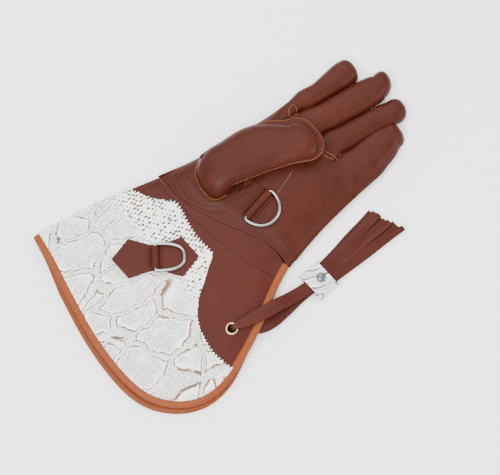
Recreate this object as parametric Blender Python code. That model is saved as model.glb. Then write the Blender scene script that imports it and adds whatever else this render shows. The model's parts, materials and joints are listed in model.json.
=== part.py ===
"""Falconry glove, lying palm up.

The frame: +Y runs along the fingers, +X towards the little finger, +Z up. The origin lies on the
surface that the glove rests on, below the middle of the wrist.
"""

import math

import bmesh
import bpy
import numpy as np
from mathutils import Matrix, Vector
from mathutils.bvhtree import BVHTree

MM = 0.001

# Leather and fits
LEATHER = 1.8 * MM
PRINT_LEATHER = 1.2 * MM
TAB_LEATHER = 1.3 * MM
TAPE = 0.9 * MM
FIT = 0.3 * MM
LAP_FIT = 0.5 * MM

# Hand: the outline tables are shares of the first two sizes
HAND_LENGTH = 192 * MM
HAND_WIDTH = 110 * MM
PALM_THICK = 16 * MM
FINGER_THICK = 16.5 * MM
RIM_HEIGHT = 6.8 * MM
CROTCH_WEB = 4.5 * MM

# Gauntlet
CUFF_LENGTH = 168 * MM
CUFF_WIDTH = 205 * MM
CUFF_LAP = 8 * MM
BINDING_WIDTH = 7 * MM
FOLD_REACH = 16 * MM

# Thumb
THUMB_LENGTH = 119 * MM
THUMB_WIDTH = 45 * MM
THUMB_BASE = (-45 * MM, -15 * MM)
THUMB_ABOVE = 9 * MM
THUMB_BELOW = 6 * MM
THUMB_LIFT = 6.5 * MM
THUMB_MOUTH_WIDTH = 28 * MM
THUMB_MOUTH_LENGTH = 23 * MM

# Rings and their tabs: each frame is the middle of the ring's bar and the bar's angle
WIRE = 3 * MM
RING_RUN = 0.35 * MM
BORE_PLAY = 0.1 * MM
PALM_RING_PLACE = (0.5 * MM, 21 * MM)
PALM_RING_ANGLE = -73.0
PALM_RING_WIDTH = 36 * MM
PALM_RING_DEPTH = 21 * MM
PALM_TAB_WIDTH = 31.5 * MM
PALM_TAB_REACH = 22 * MM
CUFF_RING_PLACE = (-6.5 * MM, -84 * MM)
CUFF_RING_ANGLE = -29.7
CUFF_RING_WIDTH = 25 * MM
CUFF_RING_DEPTH = 26.5 * MM
CUFF_TAB_LENGTH = 79 * MM
CUFF_TAB_WIDTH = 37 * MM
CUFF_LOOP_WIDTH = 20 * MM

# Eyelet and tassel
EYELET_PLACE = (85 * MM, -59 * MM)
EYELET_BORE = 7.2 * MM
EYELET_FLANGE = 12 * MM
EYELET_WALL = 0.6 * MM
STRAP_WIDTH = 12 * MM
STRAP_THICK = 1.5 * MM
COLLAR_PLACE = (89.5 * MM, 22 * MM)
TASSEL_ANGLE = 10.5
COLLAR_WIDTH = 29 * MM
COLLAR_LENGTH = 21 * MM
COLLAR_HEIGHT = 9 * MM
RIVET_DIAMETER = 8 * MM
RIVET_HEIGHT = 2.4 * MM
FRINGE_LENGTH = 72 * MM
FRINGE_WIDTH = 42 * MM
FRINGE_STRIP = 3.8 * MM
FRINGE_STRIPS = 6
FRINGE_STRAY = 1.5 * MM
STRIP_LAP = 2 * MM
HEAD_SHOWS = 1 * MM

COLUMNS = 6
PALM_ROWS = (0.0, 0.09, 0.2, 0.32, 0.45, 0.58, 0.7, 0.79, 0.87, 0.93, 0.97, 1.0)

# Lines down the hand, each as (across, along) from the hem to the crotch of the fingers:
# across is a share of HAND_WIDTH, along a share of HAND_LENGTH.
PALM_LINES = {
    "thumb_side": ((-0.673, -0.214), (-0.632, -0.02), (-0.636, 0.16), (-0.627, 0.34), (-0.645, 0.5)),
    "index_middle": ((-0.345, -0.177), (-0.364, 0.01), (-0.4, 0.19), (-0.455, 0.355), (-0.518, 0.516)),
    "middle_ring": ((-0.027, -0.078), (-0.073, 0.085), (-0.127, 0.25), (-0.19, 0.415), (-0.245, 0.573)),
    "ring_little": ((0.3, 0.049), (0.218, 0.177), (0.127, 0.3125), (0.045, 0.45), (-0.018, 0.589)),
    "little_side": ((0.582, 0.083), (0.514, 0.1875), (0.445, 0.3125), (0.391, 0.4375), (0.345, 0.5625)),
}

# Fingers: rows of (along, left, right) up to where the tip begins to round off, then the tip's own
# (along, across); "thick" is a share of FINGER_THICK.
FINGERS = {
    "index": {
        "thick": 1.0,
        "rows": (
            (0.583, -0.682, -0.497), (0.661, -0.676, -0.492), (0.729, -0.7, -0.492),
            (0.807, -0.727, -0.491),
        ),
        "tip": (0.891, -0.609),
    },
    "middle": {
        "thick": 1.06,
        "rows": (
            (0.63, -0.486, -0.237), (0.72, -0.486, -0.23), (0.82, -0.483, -0.225), (0.9, -0.473, -0.232),
        ),
        "tip": (1.003, -0.392),
    },
    "ring": {
        "thick": 1.0,
        "rows": (
            (0.65, -0.232, -0.018), (0.74, -0.225, -0.04), (0.83, -0.218, -0.06),
            (0.875, -0.214, -0.05), (0.925, -0.205, 0.0),
        ),
        "tip": (0.987, -0.1),
    },
    "little": {
        "thick": 0.86,
        "rows": ((0.64, 0.0, 0.309), (0.703, -0.022, 0.291), (0.75, -0.034, 0.268), (0.79, -0.036, 0.245)),
        "tip": (0.906, 0.06),
    },
}
TIP_ROWS = (0.38, 0.68, 0.89, 0.98)
TIP_POWER = 2.4


def curve_at(points, t):
    """Catmull-Rom curve through the points, at t from 0 at the first to 1 at the last."""
    points = np.asarray(points, float)
    last = len(points) - 1
    place = min(max(t, 0.0), 1.0) * last
    i = min(int(place), last - 1)
    f = place - i
    before = points[i - 1] if i > 0 else 2 * points[0] - points[1]
    after = points[i + 2] if i + 2 <= last else 2 * points[last] - points[last - 1]
    a, b = points[i], points[i + 1]
    return 0.5 * (
        2 * a + (b - before) * f + (2 * before - 5 * a + 4 * b - after) * f**2
        + (3 * a - before - 3 * b + after) * f**3
    )


def column_value(rows, along):
    """Each later column of the rows at this value of their first column, on a smooth curve."""
    rows = np.asarray(rows, float)
    place = np.interp(along, rows[:, 0], np.arange(len(rows)) / (len(rows) - 1))
    return curve_at(rows, place)[1:]


def smooth(t):
    t = min(max(t, 0.0), 1.0)
    return t * t * (3 - 2 * t)


def material(name, colour, roughness, metallic=0.0):
    made = bpy.data.materials.new(name)
    made.use_nodes = True
    shader = made.node_tree.nodes["Principled BSDF"]
    shader.inputs["Base Color"].default_value = (*colour, 1.0)
    shader.inputs["Roughness"].default_value = roughness
    shader.inputs["Metallic"].default_value = metallic
    made.diffuse_color = (*colour, 1.0)
    return made


def add_mesh(name, points, faces, surface, collection):
    """A new object from points in world coordinates, triangulated, with its faces turned outwards."""
    mesh = bpy.data.meshes.new(name)
    mesh.from_pydata([tuple(p) for p in points], [], faces)
    shape = bmesh.new()
    shape.from_mesh(mesh)
    bmesh.ops.triangulate(shape, faces=shape.faces, quad_method="SHORT_EDGE")
    bmesh.ops.recalc_face_normals(shape, faces=shape.faces)
    shape.to_mesh(mesh)
    shape.free()
    mesh.shade_smooth()
    mesh.set_sharp_from_angle(angle=math.radians(50))
    made = bpy.data.objects.new(name, mesh)
    mesh.materials.append(surface)
    collection.objects.link(made)
    return made


def add_loft(name, rings, surface, collection):
    """Closed rings of equal count joined into one body, with its first and last ring closed by a face."""
    count = len(rings[0])
    points = [p for ring in rings for p in ring]
    faces = [
        (r * count + i, r * count + (i + 1) % count, (r + 1) * count + (i + 1) % count, (r + 1) * count + i)
        for r in range(len(rings) - 1)
        for i in range(count)
    ]
    faces.append(tuple(reversed(range(count))))
    faces.append(tuple(range((len(rings) - 1) * count, len(rings) * count)))
    return add_mesh(name, points, faces, surface, collection)


def add_band(name, sections, surface, collection):
    """Lofts open sections, each an outer row of points and its inner row, into one thin walled body."""
    half = len(sections[0]) // 2
    count = 2 * half
    points = [p for section in sections for p in section]
    faces = [
        (r * count + i, r * count + (i + 1) % count, (r + 1) * count + (i + 1) % count, (r + 1) * count + i)
        for r in range(len(sections) - 1)
        for i in range(count)
    ]
    for r in (0, len(sections) - 1):
        faces += [
            (r * count + i, r * count + i + 1, r * count + count - 2 - i, r * count + count - 1 - i)
            for i in range(half - 1)
        ]
    return add_mesh(name, points, faces, surface, collection)


def cut(target, cutter, operation="DIFFERENCE"):
    """Applies a Boolean to the target's mesh, so that nothing has to stay behind but the cutter's wire."""
    step = target.modifiers.new(operation.lower(), "BOOLEAN")
    step.operation = operation
    step.solver = "EXACT"
    step.object = cutter
    cutter.hide_render = True
    cutter.display_type = "WIRE"


def line_point(name, t, lowered):
    """A point on one of the palm's lines, its crotch end lowered by a length."""
    across, along = curve_at(PALM_LINES[name], t)
    return np.array([across * HAND_WIDTH, along * HAND_LENGTH - lowered * smooth((t - 0.6) / 0.4)])


def palm_ring(t, inset):
    """One row of the palm as two lists of points, top and bottom, that share their ends."""
    names = list(PALM_LINES)
    lowered = {name: 0.0 if name.endswith("side") or not inset else CROTCH_WEB for name in names}
    lines = [line_point(name, t, lowered[name]) for name in names]
    width = np.linalg.norm(lines[-1] - lines[0])
    inward = (lines[-1] - lines[0]) / width
    lines[0] = lines[0] + inward * inset
    lines[-1] = lines[-1] - inward * inset
    blend = smooth((t - 0.68) / 0.32) ** 1.3
    top, bottom = [], []
    for j in range(4 * COLUMNS + 1):
        finger, step = min(j // COLUMNS, 3), j - COLUMNS * min(j // COLUMNS, 3)
        local = -math.cos(math.pi * step / COLUMNS)
        place = lines[finger] + (lines[finger + 1] - lines[finger]) * (local + 1) / 2
        across = 2 * np.dot(place - lines[0], inward) / np.dot(lines[-1] - lines[0], inward) - 1
        thick = FINGER_THICK * list(FINGERS.values())[finger]["thick"]
        palm_top, palm_bottom = palm_heights(across, inset)
        finger_top, finger_bottom = finger_heights(local, thick, inset)
        top.append((*place, palm_top + (finger_top - palm_top) * blend))
        bottom.append((*place, palm_bottom + (finger_bottom - palm_bottom) * blend))
    return top, bottom


def palm_heights(across, inset):
    """Top and bottom of the palm at this share of its half width: flat, and fuller on the thumb's side."""
    flat = 0.72 if across < 0 else 0.45
    fall = max(0.0, (abs(across) - flat) / (1 - flat)) ** 2.3
    rise = max(0.0, (abs(across) - 0.8) / 0.2) ** 1.8
    top = PALM_THICK - inset - (PALM_THICK - inset - RIM_HEIGHT) * fall
    return top, inset + (RIM_HEIGHT - inset) * rise


def finger_heights(local, thick, inset):
    """Top and bottom of a finger at this share of its half width: round above, flattened where it rests."""
    side = math.sqrt(max(0.0, 1 - local**2))
    rise = max(0.0, (abs(local) - 0.55) / 0.45) ** 1.6
    top = RIM_HEIGHT + (thick - inset - RIM_HEIGHT) * side**0.8
    return top, inset + (RIM_HEIGHT - inset) * rise


def finger_rings(finger, start_left, start_right, inset):
    """Rings of one finger past the crotch, each as top and bottom points, and the point of its tip."""
    shape = FINGERS[finger]
    rows = shape["rows"]
    thick = FINGER_THICK * shape["thick"]
    tip_along, tip_across = shape["tip"]
    rings = []

    def ring(left, right, shrink):
        top, bottom = [], []
        for step in range(COLUMNS + 1):
            local = -math.cos(math.pi * step / COLUMNS)
            place = left + (right - left) * (local + 1) / 2
            high, low = finger_heights(local, thick, inset)
            top.append((*place, RIM_HEIGHT + (high - RIM_HEIGHT) * shrink))
            bottom.append((*place, RIM_HEIGHT + (low - RIM_HEIGHT) * shrink))
        return top, bottom

    first, last = rows[0][0], rows[-1][0]
    for share in (0.0, 0.2, 0.4, 0.6, 0.8, 1.0):
        along = first + (last - first) * share
        left, right = column_value(rows, along)
        slant = (1 - share) ** 2 * 0.5
        mid = (start_left[1] + start_right[1]) / 2
        reach = along * HAND_LENGTH
        left_point = np.array([left * HAND_WIDTH + inset, reach + slant * (start_left[1] - mid)])
        right_point = np.array([right * HAND_WIDTH - inset, reach + slant * (start_right[1] - mid)])
        rings.append(ring(left_point, right_point, 1.0))
    half = (right_point - left_point) / 2
    middle = (right_point + left_point) / 2
    tip = np.array([tip_across * HAND_WIDTH, tip_along * HAND_LENGTH - inset])
    for share in TIP_ROWS:
        shrink = (1 - share**TIP_POWER) ** (1 / TIP_POWER)
        centre = middle + (tip - middle) * share
        rings.append(ring(centre - half * shrink, centre + half * shrink, shrink))
    return rings, (*tip, RIM_HEIGHT)


def hand_surface(inset):
    """Points and faces of the hand's surface, open at the hem; its hem ring comes first."""
    points, faces = [], []

    def add_ring(top, bottom, shared=None):
        """Indices of one closed ring: along the top, then back along the bottom without its ends."""
        start = len(points)
        points.extend(top)
        points.extend(bottom[1:-1][::-1])
        return list(range(start, len(points)))

    def join(low, high):
        count = len(low)
        for i in range(count):
            faces.append((low[i], low[(i + 1) % count], high[(i + 1) % count], high[i]))

    rings = [palm_ring(t, inset) for t in PALM_ROWS]
    columns = 4 * COLUMNS
    loops = [add_ring(top, bottom) for top, bottom in rings[:-1]]
    for low, high in zip(loops, loops[1:]):
        join(low, high)
    # The crotch row: top and bottom share the points where two fingers part.
    top, bottom = rings[-1]
    top_index = []
    for j in range(columns + 1):
        top_index.append(len(points))
        points.append(top[j])
    bottom_index = []
    for j in range(columns + 1):
        if j % COLUMNS == 0:
            bottom_index.append(top_index[j])
        else:
            bottom_index.append(len(points))
            points.append(bottom[j])
    crotch = top_index + bottom_index[1:-1][::-1]
    join(loops[-1], crotch)
    for number, finger in enumerate(FINGERS):
        first = number * COLUMNS
        ring = top_index[first : first + COLUMNS + 1] + bottom_index[first + 1 : first + COLUMNS][::-1]
        finger_loops, tip = finger_rings(finger, top[first], top[first + COLUMNS], inset)
        for low_top, low_bottom in finger_loops:
            following = add_ring(low_top, low_bottom)
            join(ring, following)
            ring = following
        end = len(points)
        points.append(tip)
        faces.extend((ring[i], ring[(i + 1) % len(ring)], end) for i in range(len(ring)))
    return points, faces, loops[0]


def make_hand(surface, collection):
    outer, outer_faces, outer_hem = hand_surface(0.0)
    inner, inner_faces, inner_hem = hand_surface(LEATHER)
    shift = len(outer)
    faces = list(outer_faces)
    faces += [tuple(shift + i for i in reversed(face)) for face in inner_faces]
    count = len(outer_hem)
    for i in range(count):
        following = (i + 1) % count
        faces.append((
            outer_hem[following], outer_hem[i], shift + inner_hem[i], shift + inner_hem[following],
        ))
    return add_mesh("hand", outer + inner, faces, surface, collection)


# The cuff's bound edge as (across, along) shares of CUFF_WIDTH and CUFF_LENGTH: from the fold on the
# thumb side along the mouth, round the corner and up the vent.
CUFF_EDGE = (
    (-0.405, -1.0), (-0.283, -0.997), (-0.098, -1.012), (0.098, -1.021), (0.263, -1.009),
    (0.395, -0.979), (0.493, -0.929), (0.566, -0.848), (0.612, -0.75), (0.627, -0.637),
    (0.602, -0.5), (0.534, -0.333), (0.446, -0.164), (0.376, -0.051), (0.32, 0.055),
)
# How far the back panel reaches past the front one, as shares of BINDING_WIDTH along the edge.
BACK_REACH = ((0.0, 0.0), (0.15, 0.65), (0.45, 0.8), (0.7, 0.35), (0.85, -0.45), (1.0, 0.0))
# Height of the front panel's edge as shares of the cuff's height, along the edge.
EDGE_HEIGHT = ((0.0, 1.0), (0.3, 1.0), (0.5, 0.96), (0.62, 0.88), (0.75, 0.8), (0.9, 0.8), (1.0, 0.58))
# Pinked edge of the printed leather as (across, along) shares of CUFF_WIDTH and CUFF_LENGTH.
PINKED_EDGE = (
    (-0.361, -0.411), (-0.283, -0.351), (-0.249, -0.31), (-0.2, -0.244), (-0.073, -0.25), (0.005, -0.244),
    (0.063, -0.226), (0.088, -0.232), (0.107, -0.262), (0.156, -0.327), (0.2, -0.393), (0.259, -0.452),
    (0.288, -0.476), (0.346, -0.5), (0.415, -0.506), (0.478, -0.5), (0.561, -0.464),
)
CUFF_ROWS = (0.0, 0.1, 0.25, 0.42, 0.6, 0.8, 1.0)
CUFF_COLUMNS = 4 * COLUMNS
CUFF_HEIGHT = PALM_THICK - LEATHER - LAP_FIT
BELOW_HEM = 2 * MM
FOLD_BOW = 3 * MM
VENT_BOW = 4 * MM
FRONT, BACK = 1, -1


def edge_line():
    """Points along the cuff's edge, close together, with their distance from the fold."""
    points = np.array([curve_at(CUFF_EDGE, t) for t in np.linspace(0, 1, 241)]) * (CUFF_WIDTH, CUFF_LENGTH)
    steps = np.linalg.norm(np.diff(points, axis=0), axis=1)
    return points, np.concatenate([[0.0], np.cumsum(steps)])


EDGE_POINTS, EDGE_DISTANCES = edge_line()
EDGE_TOTAL = EDGE_DISTANCES[-1]


def edge_distance(column):
    """Distance of a column's foot from the fold: close together where the panel rolls over, then even."""
    if column < 3:
        return (0.0, 0.15, 0.5)[column] * FOLD_REACH
    return FOLD_REACH + (column - 3) / (CUFF_COLUMNS - 4) * (EDGE_TOTAL - FOLD_REACH)


def edge_point(distance):
    return np.array([np.interp(distance, EDGE_DISTANCES, EDGE_POINTS[:, axis]) for axis in (0, 1)])


def cuff_foot(side, column):
    """The end of a column on the sheet's edge, and the direction out of the sheet there."""
    distance = edge_distance(column)
    step = 2 * MM
    along = edge_point(min(distance + step, EDGE_TOTAL)) - edge_point(max(distance - step, 0.0))
    along /= np.linalg.norm(along)
    outward = np.array([along[1], -along[0]])
    foot = edge_point(distance)
    if side == BACK:
        table = np.array(BACK_REACH)
        reach = np.interp(distance / EDGE_TOTAL, table[:, 0], table[:, 1])
        foot = foot + outward * reach * BINDING_WIDTH
    return foot, outward


def lap_point(side, column, reach, inset):
    """A point of the panel where it lies inside the hand's hem, this far in from the hem."""
    index = 0 if side == FRONT else 1
    depth = LEATHER + LAP_FIT + inset
    hem = np.array(palm_ring(PALM_ROWS[0], depth)[index][column])
    above = np.array(palm_ring(PALM_ROWS[1], depth)[index][column])
    return hem + (above - hem) * reach / np.linalg.norm((above - hem)[:2])


def cuff_point(side, column, row, inset=0.0, out=0.0):
    """A point of the cuff's panels. Row 0 lies inside the hem, row 1 just below it, the last on the edge.

    The inset is measured into the cuff from its outer face, and out past the edge in its plane.
    """
    last = len(CUFF_ROWS) + 1
    if row == 0:
        return lap_point(side, column, CUFF_LAP, inset)
    start = lap_point(side, column, -BELOW_HEM, inset)
    if row == 1:
        return start
    foot, outward = cuff_foot(side, column)
    distance = edge_distance(column)
    fold = max(0.0, 1 - distance / FOLD_REACH)
    share = CUFF_ROWS[min(row, last - 1) - 1]
    plan = start[:2] + (foot - outward * BINDING_WIDTH + (fold * inset, 0.0) - start[:2]) * share
    if row == last:
        plan = foot + outward * out + (fold * inset, 0.0)
    vent = max(0.0, 4 * distance / EDGE_TOTAL - 3)
    plan = plan - (np.array([fold * FOLD_BOW, 0.0]) + outward * vent * VENT_BOW) * math.sin(math.pi * share)
    roll = math.sqrt(1 - fold**2)
    if side == FRONT:
        table = np.array(EDGE_HEIGHT)
        height = CUFF_HEIGHT * np.interp(distance / EDGE_TOTAL, table[:, 0], table[:, 1])
        target = RIM_HEIGHT + (height - inset - RIM_HEIGHT) * roll
        return np.array([*plan, start[2] + (target - start[2]) * smooth(share)])
    rest = TAPE + FIT if row >= last - 1 else 0.0
    target = RIM_HEIGHT - (RIM_HEIGHT - rest - inset) * roll
    return np.array([*plan, start[2] + (target - start[2]) * smooth(share * 4)])


def cuff_between(side, column, place, inset):
    """A point between two rows of the cuff, on the straight line that joins them."""
    row = min(int(place), len(CUFF_ROWS))
    low, high = cuff_point(side, column, row, inset), cuff_point(side, column, row + 1, inset)
    return low + (high - low) * (place - row)


def cuff_round():
    """Every column from the vent on the front, over the fold, to the vent on the back."""
    last = CUFF_COLUMNS - 1
    return [(FRONT, j) for j in range(last, -1, -1)] + [(BACK, j) for j in range(1, last + 1)]


def make_gauntlet(surface, collection):
    sections = []
    for row in range(len(CUFF_ROWS) + 2):
        outer = [cuff_point(side, j, row) for side, j in cuff_round()]
        inner = [cuff_point(side, j, row, LEATHER) for side, j in cuff_round()]
        sections.append(outer + inner[::-1])
    return add_band("gauntlet", sections, surface, collection)


def make_binding(surface, collection):
    """The tape's section is a channel that holds the sheet's edge, with the same gap on its three sides."""
    last = len(CUFF_ROWS) + 1
    inside, outside = LEATHER + FIT, -FIT
    rings = []
    for side, j in cuff_round():
        rings.append([
            cuff_point(side, j, last - 1, outside - TAPE),
            cuff_point(side, j, last, outside - TAPE, FIT + 0.4 * TAPE),
            cuff_point(side, j, last, outside - 0.3 * TAPE, FIT + TAPE),
            cuff_point(side, j, last, inside + 0.3 * TAPE, FIT + TAPE),
            cuff_point(side, j, last, inside + TAPE, FIT + 0.4 * TAPE),
            cuff_point(side, j, last - 1, inside + TAPE),
            cuff_point(side, j, last - 1, inside),
            cuff_point(side, j, last, inside, FIT),
            cuff_point(side, j, last, outside, FIT),
            cuff_point(side, j, last - 1, outside),
        ])
    return add_loft("binding", rings, surface, collection)


def make_overlay(surface, collection):
    """Printed leather on the front panel, from its pinked edge down to the tape."""
    edge = np.array(PINKED_EDGE) * (CUFF_WIDTH, CUFF_LENGTH)
    bottom = len(CUFF_ROWS) - 0.03
    sections = []
    for j in range(CUFF_COLUMNS):
        places = np.linspace(1.0, bottom, 200)
        line = np.array([cuff_between(FRONT, j, place, 0.0) for place in places])
        below = line[:, 1] < np.interp(line[:, 0], edge[:, 0], edge[:, 1])
        length = np.linalg.norm(line[-1, :2] - line[np.argmax(below), :2])
        if not below[-1] or length < PRINT_LEATHER * 3:
            break
        top = max(places[np.argmax(below)], 1.1)
        rows = [top] + [row for row in range(2, len(CUFF_ROWS)) if row > top + 0.1] + [bottom]
        shares = np.interp(np.linspace(0, 1, 9), np.linspace(0, 1, len(rows)), rows)
        under = [cuff_between(FRONT, j, place, -FIT) for place in shares]
        over = [cuff_between(FRONT, j, place, -FIT - PRINT_LEATHER) for place in shares]
        sections.append(over + under[::-1])
    return add_band("snake_overlay", sections, surface, collection)


# Thumb rows as (along, left, right): along is a share of THUMB_LENGTH from the base, left and right
# are shares of THUMB_WIDTH.
THUMB_ROWS = (
    (0.126, -0.467, 0.378), (0.22, -0.495, 0.43), (0.32, -0.5, 0.48), (0.5, -0.511, 0.567),
    (0.67, -0.411, 0.678), (0.76, -0.31, 0.77), (0.832, -0.189, 0.844),
)
THUMB_ENDS = (0.044, 0.378)
THUMB_RISE = ((0.0, 0.35), (0.3, 0.9), (0.7, 1.0), (1.0, 0.6))
THUMB_COLUMNS = 8
THUMB_SEAT = 0.36


def thumb_ring(along, left, right, shrink, inset):
    """One closed ring of the thumb, whose underside rises towards the fold on the palm's side."""
    table = np.array(THUMB_RISE)
    lift = THUMB_LIFT * np.interp(along, table[:, 0], table[:, 1])
    finger_top = FINGER_THICK * FINGERS["middle"]["thick"]
    rest = PALM_THICK + max(0.0, finger_top - PALM_THICK) * smooth((along - 0.6) / 0.2)
    top, bottom = [], []
    for step in range(THUMB_COLUMNS + 1):
        local = -math.cos(math.pi * step / THUMB_COLUMNS)
        across = left + (right - left) * (local + 1) / 2
        round_off = math.sqrt(max(0.0, 1 - abs(local) ** 2.4)) * shrink
        rim = rest + FIT + THUMB_BELOW + lift * ((local + 1) / 2 - THUMB_SEAT)
        place = (THUMB_BASE[0] + across, THUMB_BASE[1] + along * THUMB_LENGTH)
        top.append((*place, rim + (THUMB_ABOVE - inset) * round_off))
        bottom.append((*place, rim - (THUMB_BELOW - inset) * round_off))
    return top + bottom[1:-1][::-1]


def thumb_rings(inset):
    first, last = THUMB_ROWS[0], THUMB_ROWS[-1]
    rings = []

    def rounded(row, end_along, end_across, share):
        shrink = (1 - share**TIP_POWER) ** (1 / TIP_POWER)
        half = ((row[2] - row[1]) / 2 * THUMB_WIDTH - inset) * shrink
        middle = (row[1] + row[2]) / 2 * THUMB_WIDTH
        middle += (end_across * THUMB_WIDTH - middle) * share
        along = row[0] + (end_along - row[0]) * share
        return thumb_ring(along, middle - half, middle + half, shrink, inset)

    wall = inset / THUMB_LENGTH
    for share in TIP_ROWS[::-1]:
        rings.append(rounded(first, wall, THUMB_ENDS[0], share))
    for row in THUMB_ROWS:
        left, right = row[1] * THUMB_WIDTH + inset, row[2] * THUMB_WIDTH - inset
        rings.append(thumb_ring(row[0], left, right, 1.0, inset))
    for share in TIP_ROWS:
        rings.append(rounded(last, 1 - wall, THUMB_ENDS[1], share))
    return rings


def make_thumb(surface, hand, parts, cutters):
    """The thumb's shell, and the mouth through which it opens into the hand below it."""
    thumb = add_loft("thumb", thumb_rings(0.0), surface, parts)
    hollow = add_loft("thumb_hollow", thumb_rings(LEATHER), surface, cutters)
    low, high = PALM_THICK / 2, PALM_THICK + THUMB_BELOW + LEATHER
    place = (THUMB_BASE[0], THUMB_BASE[1] + THUMB_MOUTH_LENGTH * 1.05, (low + high) / 2)
    bpy.ops.mesh.primitive_cylinder_add(vertices=20, radius=0.5, depth=high - low, location=place)
    mouth = bpy.context.object
    mouth.name = "thumb_mouth"
    mouth.scale = (THUMB_MOUTH_WIDTH, THUMB_MOUTH_LENGTH, 1)
    bpy.context.collection.objects.unlink(mouth)
    cutters.objects.link(mouth)
    cut(thumb, hollow)
    cut(thumb, mouth)
    cut(hand, mouth)
    return thumb


def surface_frame(target, place, angle, reach):
    """A frame lying on the target at this place: its X at the angle, its Z square to the surface below.

    It is raised just enough to clear the surface all over the reach, given as (across, back, forward).
    """
    graph = bpy.context.evaluated_depsgraph_get()
    tree = BVHTree.FromObject(target, graph)
    turn = math.radians(angle)
    along_x = Vector((math.cos(turn), math.sin(turn), 0))
    along_y = Vector((-math.sin(turn), math.cos(turn), 0))
    width, back, forward = reach

    def height(x, y):
        point = Vector((*place, 0)) + along_x * x + along_y * y
        return tree.ray_cast(point + Vector((0, 0, 1)), Vector((0, 0, -1)))[0]

    left, right = height(-width / 2, 0), height(width / 2, 0)
    behind, ahead = height(0, -back), height(0, forward)
    x_axis = (right - left).normalized()
    normal = x_axis.cross(ahead - behind).normalized()
    y_axis = normal.cross(x_axis)
    origin = height(0, 0)
    sampled = [
        height(width * i / 6, -back + (back + forward) * k / 8) for i in range(-3, 4) for k in range(9)
    ]
    rise = max((point - origin).dot(normal) for point in sampled if point)
    frame = Matrix((x_axis, y_axis, normal)).transposed().to_4x4()
    frame.translation = origin + normal * max(rise, 0.0)
    return frame


def ring_axis_height():
    """Height of a ring's bar over the surface that its tab lies on."""
    return FIT + TAB_LEATHER + RING_RUN + WIRE / 2


def make_ring(name, frame, width, depth, squareness, droop, surface, collection):
    """A D-ring whose origin is the middle of its straight bar, turned down about the bar by the droop."""
    points = [(width * (k / 4 - 0.5), 0.0) for k in range(4)]
    for k in range(16):
        turn = math.pi * k / 15
        across = math.copysign(abs(math.cos(turn)) ** squareness, math.cos(turn))
        points.append((width / 2 * across, depth * math.sin(turn) ** squareness))
    points.pop()
    shape = bpy.data.curves.new(name, "CURVE")
    shape.dimensions = "3D"
    shape.bevel_depth = WIRE / 2
    shape.bevel_resolution = 2
    line = shape.splines.new("POLY")
    line.points.add(len(points) - 1)
    for point, (x, y) in zip(line.points, points):
        point.co = (x, y, 0, 1)
    line.use_cyclic_u = True
    shape.materials.append(surface)
    ring = bpy.data.objects.new(name, shape)
    collection.objects.link(ring)
    seat = Matrix.Translation((0, 0, ring_axis_height()))
    ring.matrix_world = frame @ seat @ Matrix.Rotation(-droop, 4, "X")
    return ring


def loop_profile(strap_reach):
    """Side view of a tab's loop as (y, z): a round eye on the strap, whose two layers run back from it."""
    centre = ring_axis_height()
    radius = centre - FIT
    arc = [
        (radius * math.cos(math.radians(a)), centre + radius * math.sin(math.radians(a)))
        for a in range(-90, 91, 18)
    ]
    strap_top = FIT + 2 * TAB_LEATHER
    return arc + [(-2 * radius, strap_top), (-strap_reach, strap_top), (-strap_reach, FIT)]


def add_prism(name, profile, width, frame, surface, collection):
    """A side profile in the frame's YZ plane, drawn out to this width along its X."""
    rings = [[frame @ Vector((x, y, z)) for y, z in profile] for x in (-width / 2, width / 2)]
    return add_loft(name, rings, surface, collection)


def bore_for_bar(name, tab, width, frame, collection):
    bpy.ops.mesh.primitive_cylinder_add(vertices=14, radius=WIRE / 2 + RING_RUN + BORE_PLAY, depth=width * 2)
    bore = bpy.context.object
    bore.name = name
    seat = Matrix.Translation((0, 0, ring_axis_height()))
    bore.matrix_world = frame @ seat @ Matrix.Rotation(math.pi / 2, 4, "Y")
    bpy.context.collection.objects.unlink(bore)
    collection.objects.link(bore)
    cut(tab, bore)


def make_palm_ring(hand, leather, steel, parts, cutters):
    reach = (PALM_TAB_WIDTH, PALM_TAB_REACH, PALM_RING_DEPTH + WIRE)
    frame = surface_frame(hand, PALM_RING_PLACE, PALM_RING_ANGLE, reach)
    tab = add_prism("palm_ring_tab", loop_profile(PALM_TAB_REACH), PALM_TAB_WIDTH, frame, leather, parts)
    bore_for_bar("palm_ring_bore", tab, PALM_TAB_WIDTH, frame, cutters)
    droop = math.asin((ring_axis_height() - FIT - WIRE / 2) / PALM_RING_DEPTH)
    make_ring("palm_ring", frame, PALM_RING_WIDTH, PALM_RING_DEPTH, 0.95, droop, steel, parts)


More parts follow.
